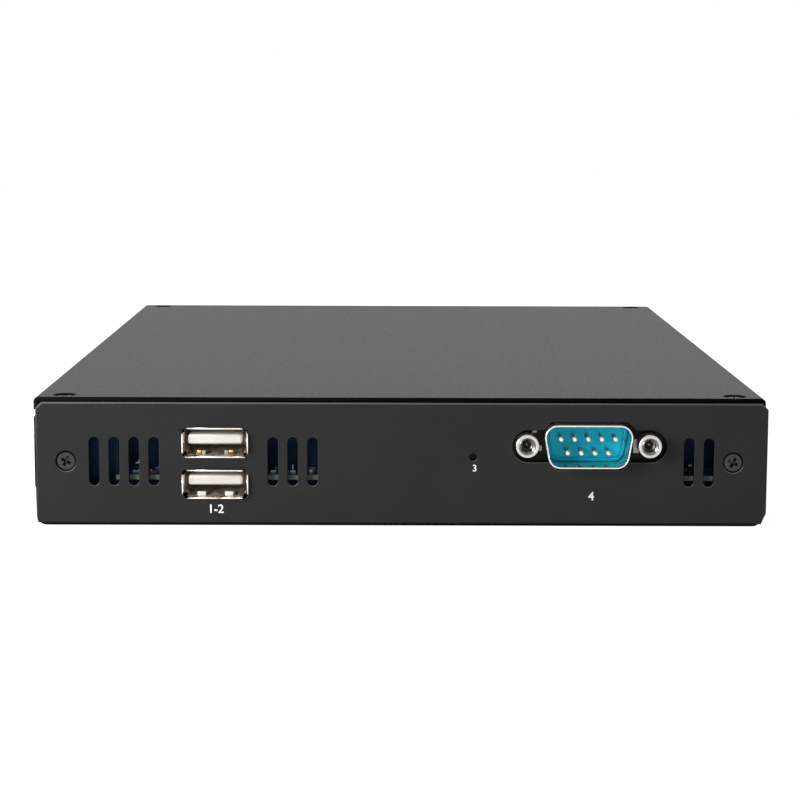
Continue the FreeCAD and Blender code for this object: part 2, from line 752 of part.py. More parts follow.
def heat_path():
    """Processor, soft pads and the block that leads heat into the cover."""
    processor = body("processor", heat_middle, heat_y, board_top)
    package = sketch(processor, "floor")
    rectangle(package, "0", "0", "package_side", "package_side")
    pad(processor, package, "package_rise")
    die = sketch(processor, "floor", "package_rise")
    rectangle(die, "0", "0", "die_side", "die_side")
    pad(processor, die, "die_rise")
    die_top = f"({board_top} + package_rise + die_rise)"
    block("die_pad", "die_side", "die_side", "pad_thick", heat_middle, f"{heat_y} - die_side / 2", die_top)
    block("cover_pad", "block_width", "block_depth", "pad_thick", heat_middle, f"{heat_y} - block_depth / 2",
          f"{lid_under} - pad_thick")
    low, high = f"({die_top} + pad_thick)", f"({lid_under} - pad_thick)"
    x, y = heat_spot()
    spreader = body("heat_block", z=low)
    plan = sketch(spreader, "floor")
    rectangle(plan, heat_middle, heat_y, "block_width", "block_depth")
    pad(spreader, plan, f"{high} - {low}")
    leg = sketch(spreader, "floor")
    circle(leg, x, y, "leg_radius")
    foot = pad(spreader, leg, f"{low} - {board_top}", back=True)
    repeat(spreader, [foot], leg, leg_rows)
    tap = sketch(spreader, "floor", f"{board_top} - {low}")
    circle(tap, x, y, "board_shank + fit_gap")
    tapped = pocket(spreader, tap, "board_shank_long", back=True)
    repeat(spreader, [tapped], tap, leg_rows)
    hex_screws("block_screws", (x, f"{y} + block_depth - 2 * leg_in", board_low), Rotation(Vector(1, 0, 0), 180),
               "block_head", "board_shank_long", leg_rows)


def socketed(name, x, y, z, width, deep, rise, arms):
    """A module lying over the board, its rear edge in the slot of a socket."""
    block(f"{name}_module", width, deep, "module_thick", x, y, f"{z} + {rise}")
    socket = body(f"{name}_socket", x, f"{y} + {deep} - slot_bite", z)
    side = sketch(socket, "side", f"-({width} / 2 + 1.5)")
    mouth_low, mouth_high = f"({rise} - fit_gap)", f"({rise} + module_thick + fit_gap)"
    outline(side, [
        ("0", "0"), ("socket_deep", "0"), ("socket_deep", "socket_height"), ("0", "socket_height"),
        ("0", mouth_high), ("slot_bite + fit_gap", mouth_high), ("slot_bite + fit_gap", mouth_low),
        ("0", mouth_low)])
    pad(socket, side, f"{width} + 3")
    if arms:
        plan = sketch(socket, "floor")
        for sign in ("", "-"):
            rectangle(plan, f"{sign}({width} / 2 + 1 + board_gap)", f"-{deep} / 3", "2", f"({deep} * 2 / 3)")
        pad(socket, plan, "socket_height")
    return socket


def memory():
    x, y = f"({board_middle} - memory_shift)", f"{front} + memory_from_front"
    socketed("memory", x, y, board_top, "memory_width", "memory_deep", "memory_rise", True)
    chips = body("memory_chips", x, y, f"{board_top} + memory_rise + module_thick")
    plan = sketch(chips, "floor")
    for n in range(4):
        rectangle(plan, f"({n} - 1.5) * memory_width / 4", "memory_deep * 0.45", "9", "11")
    pad(chips, plan, "chip_thick")


def storage():
    """A long storage module, its free end held on a post by one screw."""
    x, y = f"({right} - board_right - storage_in)", f"({front} + storage_from_front)"
    socketed("storage", x, y, board_top, "storage_width", "storage_long", "storage_rise", False)
    chips = body("storage_chips", x, y, f"{board_top} + storage_rise + module_thick")
    plan = sketch(chips, "floor")
    for place, length in (("0.3", "18"), ("0.62", "14")):
        rectangle(plan, "0", f"storage_long * {place}", "16", length)
    pad(chips, plan, "chip_thick")
    post = node("Part::Cylinder", "storage_standoff", x, f"{y} + storage_post", board_top)
    bind(post, {"Radius": "storage_post", "Height": "storage_rise"})
    top = f"({board_top} + storage_rise + module_thick)"
    head = node("Part::Cylinder", "storage_screw", x, f"{y} + storage_post", top)
    bind(head, {"Radius": "storage_post", "Height": "chip_thick"})


def coin_cell():
    """A cell lying in a shallow square holder."""
    spot = (f"{left} + board_left + cell_in", f"{front} + cell_from_front", board_top)
    holder = body("cell_holder", *spot)
    plan = sketch(holder, "floor")
    rectangle(plan, "0", "0", "2 * (cell_radius + holder_wall)", "2 * (cell_radius + holder_wall)")
    pad(holder, plan, "holder_floor + holder_bite")
    well = sketch(holder, "floor", "holder_floor + holder_bite")
    circle(well, "0", "0", "cell_radius + fit_gap")
    pocket(holder, well, "holder_bite")
    cell = node("Part::Cylinder", "coin_cell", *spot[:2], f"{board_top} + holder_floor")
    bind(cell, {"Radius": "cell_radius", "Height": "cell_thick"})


def small_parts():
    """Chokes, capacitors and chips, each kind in rows or in a list of places."""
    chokes = body("power_chokes", f"{heat_middle} - block_width / 2 - choke_side", heat_y, board_top)
    plan = sketch(chokes, "floor")
    rectangle(plan, "0", "0", "choke_side", "choke_side")
    first = pad(chokes, plan, "choke_rise")
    repeat(chokes, [first], plan, [("V_Axis", "choke_pitch", "3")])
    cans = body("filter_capacitors", f"{left} + board_left + can_in", f"{front} + can_from_front", board_top)
    plan = sketch(cans, "floor")
    circle(plan, "0", "0", "can_radius")
    first = pad(cans, plan, "can_rise")
    repeat(cans, [first], plan, [("V_Axis", "can_pitch", "3")])
    chips = body("controller_chips", z=board_top)
    plan = sketch(chips, "floor")
    for x, y, side in ((network_side, f"{rear} - 24", "7"), (f"{network_side} + network_pitch", f"{rear} - 24", "7"),
                       (serial_side, f"{front} + 28", "12"), (f"{port_side} + 18", f"{front} + 26", "9")):
        rectangle(plan, x, y, side, side)
    pad(chips, plan, "package_rise")
    edge = body("edge_parts", "0", board_front, board_top)
    plan = sketch(edge, "floor")
    slots = (f"({left} + left_slot_in)", f"({left} + middle_slot_in)", f"({right} - right_slot_in)")
    for start, x, y, width, deep in (
            (0, "9", "2.5", "1.8", "3.2"), (0, "12.4", "4.2", "3.4", "3"),
            (1, "1.2", "3", "3.6", "2.6"), (1, "5.8", "2.6", "2.2", "1.4"),
            (1, "9.2", "3.4", "2.6", "3"), (2, "-4.1", "3", "3", "3.4"), (2, "0.6", "4.4", "3.2", "3.2")):
        rectangle(plan, f"{slots[start]} + {x}", y, width, deep)
    pad(edge, plan, "chip_thick")


def clear_switch():
    """A small sideways push switch; a pin through the pinhole pushes its plunger back."""
    face = f"({front} + switch_back)"
    housing = body("clear_switch", pinhole_side, face, board_top)
    profile = sketch(housing, "front")
    high = "(pinhole_over + plunger + switch_rim)"
    rectangle(profile, "0", f"{high} / 2", "switch_width", high)
    pad(housing, profile, "switch_deep", back=True)
    bore = sketch(housing, "front")
    circle(bore, "0", "pinhole_over", "plunger + slide_gap")
    pocket(housing, bore, "plunger_in + 2 * clear_travel")
    plunger = body("clear_plunger", pinhole_side, f"{face} - plunger_out", pinhole_rise)
    profile = sketch(plunger, "front")
    circle(profile, "0", "0", "plunger")
    pad(plunger, profile, "plunger_out + plunger_in", back=True)


# ---- stacked ports ----

def ports(name, side, face, turn):
    """Two mouths in one folded can: thin walls, lips flared along each side, white tongues, contacts."""
    behind = "(port_reach + panel_sheet + panel_gap)"  # from the lips to the can
    shell = body(f"{name}_shell", side, face, "0", turn)
    outer = "(mouth_width + 2 * shell_wall)"
    web = "(port_pitch - mouth_height - 2 * shell_wall)"
    can = sketch(shell, "front", behind)
    rectangle(can, "0", f"{port_lower} + port_pitch / 2", outer, "(port_pitch + mouth_height + 2 * shell_wall)")
    for level in port_levels:
        rectangle(can, "0", level, "mouth_width", "mouth_height")
    rectangle(can, "0", f"{port_lower} + port_pitch / 2", "mouth_width", web)
    pad(shell, can, "can_deep", back=True)
    back = sketch(shell, "front", f"{behind} + can_deep")
    rectangle(back, "0", f"{port_lower} + port_pitch / 2", outer, "(port_pitch + mouth_height + 2 * shell_wall)")
    pad(shell, back, "shell_wall", back=True)
    mouths = sketch(shell, "front")
    for level in port_levels:
        rectangle(mouths, "0", level, outer, "(mouth_height + 2 * shell_wall)")
        rectangle(mouths, "0", level, "mouth_width", "mouth_height")
    pad(shell, mouths, behind, back=True)
    lips = sketch(shell, "front")
    wide, tall = "(mouth_width - 4 * lip_flare)", "(mouth_height - 2 * lip_flare)"
    lip = "(shell_wall + lip_flare)"
    for level in port_levels:
        for sign in ("+", "-"):
            rectangle(lips, "0", f"{level} {sign} (mouth_height + {lip}) / 2", wide, lip)
            rectangle(lips, f"0 {sign} (mouth_width + {lip}) / 2", level, lip, tall)
    pad(shell, lips, "lip_thick", back=True)
    tongues = body(f"{name}_tongues", side, face, "0", turn)
    back_wall = f"({behind} + can_deep)"
    root = sketch(tongues, "front", "mouth_deep")
    blades = sketch(tongues, "front", "tongue_back")
    for level in port_levels:
        rectangle(root, "0", level, "mouth_width", "mouth_height")
        rectangle(blades, "0", f"{level} + tongue_up", "tongue_width", "tongue_thick")
    pad(tongues, root, f"{back_wall} - mouth_deep", back=True)
    pad(tongues, blades, "mouth_deep - tongue_back", back=True)
    contacts = body(f"{name}_contacts", side, face, "0", turn)
    strips = sketch(contacts, "front", "tongue_back + 1")
    for level in port_levels:
        for n in range(4):
            rectangle(strips, f"({n} - 1.5) * contact_pitch",
                      f"{level} + tongue_up - tongue_thick / 2 - contact_thick / 2", "contact_width",
                      "contact_thick")
    pad(contacts, strips, "mouth_deep - tongue_back - 1", back=True)


# ---- nine-pin port ----

def shell_outline(drawing, inset):
    """The port's trapezium with round corners, wide side up, set in by an even inset."""
    radius = f"(serial_corner - {inset})"
    over, drop = f"{radius} * cos(serial_slope)", f"{radius} * sin(serial_slope)"
    inward = "serial_corner / cos(serial_slope)"
    top = f"(serial_width / 2 - serial_corner * tan(serial_slope) - {inward})"
    low = f"(serial_width / 2 - (serial_height - serial_corner) * tan(serial_slope) - {inward})"
    level = "(serial_height / 2 - serial_corner)"
    right = [(low, f"-{level} - {radius}"), (f"{low} + {over}", f"-{level} - {drop}"),
             (f"{top} + {over}", f"{level} - {drop}"), (top, f"{level} + {radius}")]
    outline(drawing, right + [(f"-({x})", z) for x, z in reversed(right)], {
        0: (low, f"-{level}"), 2: (top, level), 4: (f"-{top}", level), 6: (f"-{low}", f"-{level}")})


def serial_port():
    """Stamped shell on its flange, insulator, nine pins, brackets and two jackscrews."""
    rim = f"({front} - serial_reach)"
    spot = (serial_side, rim, serial_rise)
    shell = body("serial_shell", *spot)
    outer = sketch(shell, "front")
    shell_outline(outer, "0")
    pad(shell, outer, "serial_deep", back=True)
    flange = sketch(shell, "front", "serial_deep")
    rectangle(flange, "0", "0", "flange_long", "flange_high")
    for sign in ("", "-"):
        circle(flange, f"{sign}jack_spacing / 2", "0", "jack_stud + slide_gap")
    pad(shell, flange, "serial_flange", back=True)
    inner = sketch(shell, "front")
    shell_outline(inner, "serial_wall")
    pocket(shell, inner, "serial_deep + serial_flange")
    insulator = body("serial_insulator", *spot)
    face = sketch(insulator, "front", "serial_face")
    shell_outline(face, "(serial_wall + fit_gap)")
    pad(insulator, face, "serial_deep + serial_flange - serial_face", back=True)
    boss = sketch(insulator, "front", "serial_face - boss_rise")
    shell_outline(boss, "(serial_wall + boss_inset)")
    pad(insulator, boss, "boss_rise", back=True)
    root = sketch(insulator, "front", "serial_deep + serial_flange")
    tall = "(serial_over + serial_height / 2)"
    rectangle(root, "0", f"serial_height / 2 - {tall} / 2", "serial_width", tall)
    pad(insulator, root, "serial_block", back=True)
    pins = body("serial_pins", *spot)
    tips = sketch(pins, "front", "pin_back")
    for count, level in ((5, "pin_rows / 2"), (4, "-pin_rows / 2")):
        for n in range(count):
            circle(tips, f"({n} - ({count} - 1) / 2) * pin_pitch", level, "pin_radius")
    pad(pins, tips, "serial_face - boss_rise - pin_back", back=True)
    flange_y = "(serial_deep + serial_flange)"
    bracket = body("serial_bracket", *spot)
    posts = sketch(bracket, "front", flange_y)
    high = "(serial_over + bracket_side / 2)"
    for sign in ("", "-"):
        rectangle(posts, f"{sign}jack_spacing / 2", f"bracket_side / 2 - {high} / 2", "bracket_side", high)
        circle(posts, f"{sign}jack_spacing / 2", "0", "jack_stud + fit_gap")
    pad(bracket, posts, "bracket_deep", back=True)
    screws = body("serial_jackscrews", f"{serial_side} - jack_spacing / 2", f"{front} - jack_reach", serial_rise,
                  facing_front)
    long = "(jack_reach + serial_deep - serial_reach)"
    profile = sketch(screws, "front")
    outline(profile, [
        ("0", f"-{long} - jack_stud_long"), ("jack_stud", f"-{long} - jack_stud_long"), ("jack_stud", f"-{long}"),
        ("jack_radius", f"-{long}"), ("jack_radius", "-jack_chamfer"), ("jack_radius - jack_chamfer", "0"),
        ("jack_bore + 2 * jack_chamfer", "0"), ("jack_bore", "-2 * jack_chamfer"),
        ("jack_bore", "-jack_bore_deep"), ("0", "-jack_bore_deep")])
    turned = feature(screws, "Revolution", Profile=profile, ReferenceAxis=(profile, ["V_Axis"]))
    repeat(screws, [turned], profile, [("H_Axis", "jack_spacing", "2")])


# ---- rear connectors ----

def network_jacks():
    """Two jacks: a thin metal can over a moulded insert whose mouth has a notch for the plug's latch."""
    for name, n in (("left", 0), ("right", 1)):
        spot = (f"{network_side} + {n} * network_pitch", f"{rear} + network_proud", board_top)
        shell = body(f"network_shell_{name}", *spot, facing_back)
        ring = sketch(shell, "front")
        rectangle(ring, "0", "network_height / 2", "network_width", "network_height")
        rectangle(ring, "0", "network_height / 2", "(network_width - 2 * shell_wall)",
                  "(network_height - 2 * shell_wall)")
        pad(shell, ring, "network_deep", back=True)
        insert = body(f"network_insert_{name}", *spot, facing_back)
        core = sketch(insert, "front", "shell_wall")
        rectangle(core, "0", "network_height / 2", "(network_width - 2 * shell_wall - 2 * fit_gap)",
                  "(network_height - 2 * shell_wall - 2 * fit_gap)")
        pad(insert, core, "network_deep - shell_wall", back=True)
        mouth = sketch(insert, "front", "shell_wall")
        half, latch = "network_mouth / 2", "network_latch / 2"
        low, high = "network_mouth_low", "(network_mouth_low + network_mouth_high)"
        notch = f"({low} - network_latch_high)"
        outline(mouth, [
            (f"-{latch}", notch), (latch, notch), (latch, low), (half, low), (half, high), (f"-{half}", high),
            (f"-{half}", low), (f"-{latch}", low)])
        pocket(insert, mouth, "network_mouth_deep")
    contacts = body("network_contacts", network_side, f"{rear} + network_proud", board_top)
    wires = sketch(contacts, "front", "-network_mouth_deep - shell_wall")
    for n in range(2):
        for wire in range(8):
            rectangle(wires, f"{n} * network_pitch + ({wire} - 3.5) * 1.02",
                      "network_mouth_low + network_mouth_high - 0.3", "0.4", "0.6")
    pad(contacts, wires, "network_mouth_deep * 0.7", back=True)


facing_back = Rotation(Vector(0, 0, 1), 180)


def video_port():
    spot = (video_side, f"{rear} + network_proud", f"{board_top} + video_over")
    shell = body("video_shell", *spot, facing_back)
    half, high, cut = "video_width / 2", "video_height / 2", "video_corner"

    def mouth(drawing, inset):
        outline(drawing, [
            (f"-{half} + {inset} + {cut}", f"-{high} + {inset}"), (f"{half} - {inset} - {cut}", f"-{high} + {inset}"),
            (f"{half} - {inset}", f"-{high} + {inset} + {cut}"), (f"{half} - {inset}", f"{high} - {inset}"),
            (f"-{half} + {inset}", f"{high} - {inset}"), (f"-{half} + {inset}", f"-{high} + {inset} + {cut}")])

    tube = sketch(shell, "front")
    mouth(tube, "(-shell_wall)")
    mouth(tube, "0")
    pad(shell, tube, "video_deep", back=True)
    stem = sketch(shell, "front", "video_deep / 2")
    foot = "(video_over - video_height / 2 - shell_wall)"
    rectangle(stem, "0", f"-video_height / 2 - shell_wall - {foot} / 2", "(video_width - 2 * video_corner)", foot)
    pad(shell, stem, "video_deep / 2", back=True)
    insert = body("video_insert", *spot, facing_back)
    root = sketch(insert, "front", "video_deep - 2")
    mouth(root, "fit_gap")
    pad(insert, root, "2", back=True)
    blade = sketch(insert, "front", "1.5")
    rectangle(blade, "0", "0.3", "(video_width - 3)", "1.1")
    pad(insert, blade, "video_deep - 3.5", back=True)


def power_jack():
    """A board jack with a round mouth and a centre pin."""
    spot = (jack_side, f"{rear} - panel_sheet - fit_gap", board_top)
    housing = body("power_jack", *spot, facing_back)
    profile = sketch(housing, "front")
    rectangle(profile, "0", "jack_height / 2", "jack_width", "jack_height")
    pad(housing, profile, "jack_deep", back=True)
    mouth = sketch(housing, "front")
    circle(mouth, "0", "jack_height / 2", "jack_mouth")
    pocket(housing, mouth, "jack_mouth_deep")
    pin = body("power_jack_pin", jack_side, f"{rear} - panel_sheet - jack_mouth_deep", f"{board_top} + jack_height / 2")
    profile = sketch(pin, "front")
    circle(profile, "0", "0", "jack_pin")
    pad(pin, profile, "jack_mouth_deep - 1", back=True)


def power_button():
    """A round cap in the rear panel, whose stem slides in a switch on the board."""
    inner = "(button_proud + panel_sheet + button_rim_gap)"  # from the cap's face to its rim
    cap = body("power_button", button_side, f"{rear} + button_proud", button_rise, facing_rear)
    gap = "(button_travel + 2 * button_rim_gap)"  # from the rim to the switch, at rest
    end = f"({inner} + button_rim_thick + {gap} + button_stem_in)"
    profile = sketch(cap, "front")
    outline(profile, [
        ("0", f"-{end}"), ("button_stem", f"-{end}"), ("button_stem", f"-{inner} - button_rim_thick"),
        ("button_rim", f"-{inner} - button_rim_thick"), ("button_rim", f"-{inner}"), ("button_radius", f"-{inner}"),
        ("button_radius", "-0.4"), ("button_radius - 0.4", "0"), ("0", "0")])
    feature(cap, "Revolution", Profile=profile, ReferenceAxis=(profile, ["V_Axis"]))
    face = f"({rear} + button_proud - {inner} - button_rim_thick - {gap})"
    switch = body("power_switch", button_side, face, board_top, facing_back)
    front_view = sketch(switch, "front")
    rectangle(front_view, "0", "(button_over + button_switch / 2) / 2", "button_switch",
              "(button_over + button_switch / 2)")
    pad(switch, front_view, "button_switch_deep", back=True)
    bore = sketch(switch, "front")
    circle(bore, "0", "button_over", "button_stem + slide_gap")
    pocket(switch, bore, "button_stem_in + button_travel + 2 * button_rim_gap")


def status_lamp():
    """A round lens in the rear panel, on a block on the board."""
    lamp = body("status_lamp", lamp_side, f"{rear} + lamp_proud", button_rise, facing_back)
    lens = sketch(lamp, "front")
    circle(lens, "0", "0", "lamp_radius")
    pad(lamp, lens, "lamp_long", back=True)
    foot = sketch(lamp, "front", "lamp_proud + panel_sheet + board_gap")
    high = "(button_over + lamp_radius)"
    rectangle(foot, "0", f"lamp_radius - {high} / 2", "(2 * lamp_radius)", high)
    pad(lamp, foot, "lamp_long - lamp_proud - panel_sheet - board_gap", back=True)


doc.addObject("App::FeaturePython", "probe")  # a place to work sums out
top_cover()
chassis_tray()
front_panel()
rear_panel()
cover_screws()
panel_screws()
motherboard()
standoffs()
board_screws()
heat_path()
memory()
storage()
coin_cell()
small_parts()
clear_switch()
ports("front_port", port_side, f"{front} - port_reach", None)
ports("rear_port", rear_port_side, f"{rear} + port_reach", facing_back)
serial_port()
network_jacks()
video_port()
power_jack()
power_button()
status_lamp()
doc.recompute()

failed = [thing.Label for thing in doc.Objects if {"Invalid", "Error"} & set(thing.State)]
failed += [piece.Label for piece in nodes if piece.Shape.isNull() or not piece.Shape.isValid()]
if failed:
    raise RuntimeError("These did not build: " + ", ".join(failed))
os.makedirs("parts", exist_ok=True)
for piece in nodes:
    piece.Shape.exportStep(f"parts/{piece.Label}.step")
    box = piece.Shape.BoundBox
    print(f"{piece.Label:22} {len(piece.Shape.Solids):2} solids {piece.Shape.Volume:10.1f} mm3  "
          f"x {box.XMin:7.2f} {box.XMax:7.2f}  y {box.YMin:8.2f} {box.YMax:8.2f}  z {box.ZMin:6.2f} {box.ZMax:6.2f}")
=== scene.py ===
import math

import bmesh
import bpy
from mathutils import Matrix, Vector


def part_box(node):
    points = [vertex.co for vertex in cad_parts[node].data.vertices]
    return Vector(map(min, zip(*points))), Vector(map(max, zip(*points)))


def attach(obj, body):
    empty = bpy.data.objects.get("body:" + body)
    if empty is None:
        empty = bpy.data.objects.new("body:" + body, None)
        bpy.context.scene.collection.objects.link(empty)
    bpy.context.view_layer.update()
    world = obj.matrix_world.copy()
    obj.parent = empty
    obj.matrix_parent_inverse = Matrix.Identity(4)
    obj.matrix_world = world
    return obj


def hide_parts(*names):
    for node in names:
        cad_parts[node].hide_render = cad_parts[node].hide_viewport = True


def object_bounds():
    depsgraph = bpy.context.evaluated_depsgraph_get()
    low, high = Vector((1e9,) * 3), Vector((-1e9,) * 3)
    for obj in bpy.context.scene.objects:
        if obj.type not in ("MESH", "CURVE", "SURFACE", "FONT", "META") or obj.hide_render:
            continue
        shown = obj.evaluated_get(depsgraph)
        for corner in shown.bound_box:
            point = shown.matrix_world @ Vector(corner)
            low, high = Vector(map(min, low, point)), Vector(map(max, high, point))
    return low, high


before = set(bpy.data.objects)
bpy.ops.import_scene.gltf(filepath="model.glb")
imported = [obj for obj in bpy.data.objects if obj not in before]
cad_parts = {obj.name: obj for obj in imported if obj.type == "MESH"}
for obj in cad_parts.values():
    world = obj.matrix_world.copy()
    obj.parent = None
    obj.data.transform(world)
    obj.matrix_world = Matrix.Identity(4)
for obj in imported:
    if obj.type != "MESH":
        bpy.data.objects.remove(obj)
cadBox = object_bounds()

scene = bpy.context.scene
mm = 0.001
print("frame loaded:", len(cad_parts), "nodes")


# camera: in front of the case and a little above it
camera = {
    "eye": (-2.01, -526.35, 86.48),
    "down": 8.015, "yaw": 0.269, "roll": 0.199,  # degrees
    "lens": 95.15, "sensor": 36.0,
}


def makeCamera():
    down, yaw, roll = (math.radians(camera[key]) for key in ("down", "yaw", "roll"))
    ahead = Vector((math.sin(yaw) * math.cos(down), math.cos(yaw) * math.cos(down), -math.sin(down)))
    side = Vector((math.cos(yaw), -math.sin(yaw), 0.0))
    up = side.cross(ahead)
    across = math.cos(roll) * side + math.sin(roll) * up
    upright = math.cos(roll) * up - math.sin(roll) * side
    eye = bpy.data.objects.new("camera", bpy.data.cameras.new("camera"))
    eye.matrix_world = (Matrix.Translation(Vector(camera["eye"]) * mm)
                        @ Matrix((across, upright, -ahead)).transposed().to_4x4())
    eye.data.sensor_width = camera["sensor"]
    eye.data.lens = camera["lens"]
    scene.collection.objects.link(eye)
    scene.camera = eye


makeCamera()
scene.view_settings.view_transform = "Standard"
print("camera placed")


# adds one node: its settings are keywords, its inputs a dictionary of values or of sockets to link
def addNode(tree, kind, inputs=None, **settings):
    made = tree.nodes.new(kind)
    for key, setting in settings.items():
        setattr(made, key, setting)
    for key, source in (inputs or {}).items():
        if isinstance(source, bpy.types.NodeSocket):
            tree.links.new(source, made.inputs[key])
        else:
            made.inputs[key].default_value = source
    return made


# sRGB hex to the linear values that sockets take
def colour(code):
    parts = [int(code[n:n + 2], 16) / 255 for n in (1, 3, 5)]
    return [part / 12.92 if part <= 0.04045 else ((part + 0.055) / 1.055) ** 2.4 for part in parts] + [1.0]


# studio: soft boxes over a pale floor, white behind
studio = {
    "ambient": 0.20,
    "floorColour": "#f2f2f0",
    "floorLift": 0.86,
    "floorSize": 3.0,
    "floorGap": 0.0002,
    "floorGrain": 40.0,
    "lights": {
        # name: place, aimed at, width, height, watts (metres)
        "keyBox": ((-0.44, -0.44, 0.195), (-0.02, -0.10, 0.0), 0.28, 0.24, 4.0),
        "fillBox": ((0.9, -0.5, 0.6), (0.0, 0.0, 0.0), 0.7, 0.7, 0.25),
        "topBox": ((-0.3, 0.2, 1.1), (0.0, 0.0, 0.0), 0.8, 0.6, 1.5),
    },
}


def seenRays(tree):
    paths = addNode(tree, "ShaderNodeLightPath").outputs
    either = addNode(tree, "ShaderNodeMath", {0: paths["Is Camera Ray"], 1: paths["Is Glossy Ray"]},
                     operation="MAXIMUM")
    return addNode(tree, "ShaderNodeMath", {0: either.outputs[0], 1: paths["Is Transmission Ray"]},
                   operation="MAXIMUM").outputs[0]


def makeStudio():
    world = bpy.data.worlds.new("studio")
    scene.world = world
    world.use_nodes = True
    tree = world.node_tree
    tree.nodes.clear()
    soft = addNode(tree, "ShaderNodeBackground", {"Color": colour("#ffffff"), "Strength": studio["ambient"]})
    white = addNode(tree, "ShaderNodeBackground", {"Color": colour("#ffffff"), "Strength": 1.0})
    mixed = addNode(tree, "ShaderNodeMixShader", {0: seenRays(tree), 1: soft.outputs[0], 2: white.outputs[0]})
    addNode(tree, "ShaderNodeOutputWorld", {"Surface": mixed.outputs[0]})

    for name, (place, aim, width, height, watts) in studio["lights"].items():
        lamp = bpy.data.lights.new(name, "AREA")
        lamp.shape = "RECTANGLE"
        lamp.size, lamp.size_y, lamp.energy = width, height, watts
        box = bpy.data.objects.new(name, lamp)
        box.matrix_world = (Matrix.Translation(place)
                            @ (Vector(aim) - Vector(place)).to_track_quat("-Z", "Y").to_matrix().to_4x4())
        scene.collection.objects.link(box)

    paint = bpy.data.materials.new("paleStudioFloor")
    paint.use_nodes = True
    tree = paint.node_tree
    tree.nodes.clear()
    grain = addNode(tree, "ShaderNodeTexNoise", {"Scale": studio["floorGrain"]})
    pale = addNode(tree, "ShaderNodeMixRGB",
                   {0: 0.02, 1: colour(studio["floorColour"]), 2: grain.outputs["Color"]})
    matt = addNode(tree, "ShaderNodeBsdfDiffuse", {"Color": pale.outputs[0]})
    lift = addNode(tree, "ShaderNodeMath", {0: seenRays(tree), 1: studio["floorLift"]}, operation="MULTIPLY")
    glow = addNode(tree, "ShaderNodeEmission", {"Strength": lift.outputs[0]})
    both = addNode(tree, "ShaderNodeAddShader", {0: matt.outputs[0], 1: glow.outputs[0]})
    addNode(tree, "ShaderNodeOutputMaterial", {"Surface": both.outputs[0]})
    mesh = bpy.data.meshes.new("floor")
    half = studio["floorSize"] / 2
    mesh.from_pydata([(-half, -half, 0), (half, -half, 0), (half, half, 0), (-half, half, 0)], [],
                     [(0, 1, 2, 3)])
    mesh.materials.append(paint)
    floor = bpy.data.objects.new("floor", mesh)
    floor.location.z = cadBox[0].z - studio["floorGap"]
    scene.collection.objects.link(floor)


makeStudio()
print("studio lit")


# polyester powder baked on sheet steel: near black, a fine pebbled skin that spreads a soft sheen
powderCoat = {"tones": ("#0c0c0c", "#171717"), "grain": 0.5, "rough": (0.40, 0.54), "skin": 0.012,
              "sheen": 0.20}

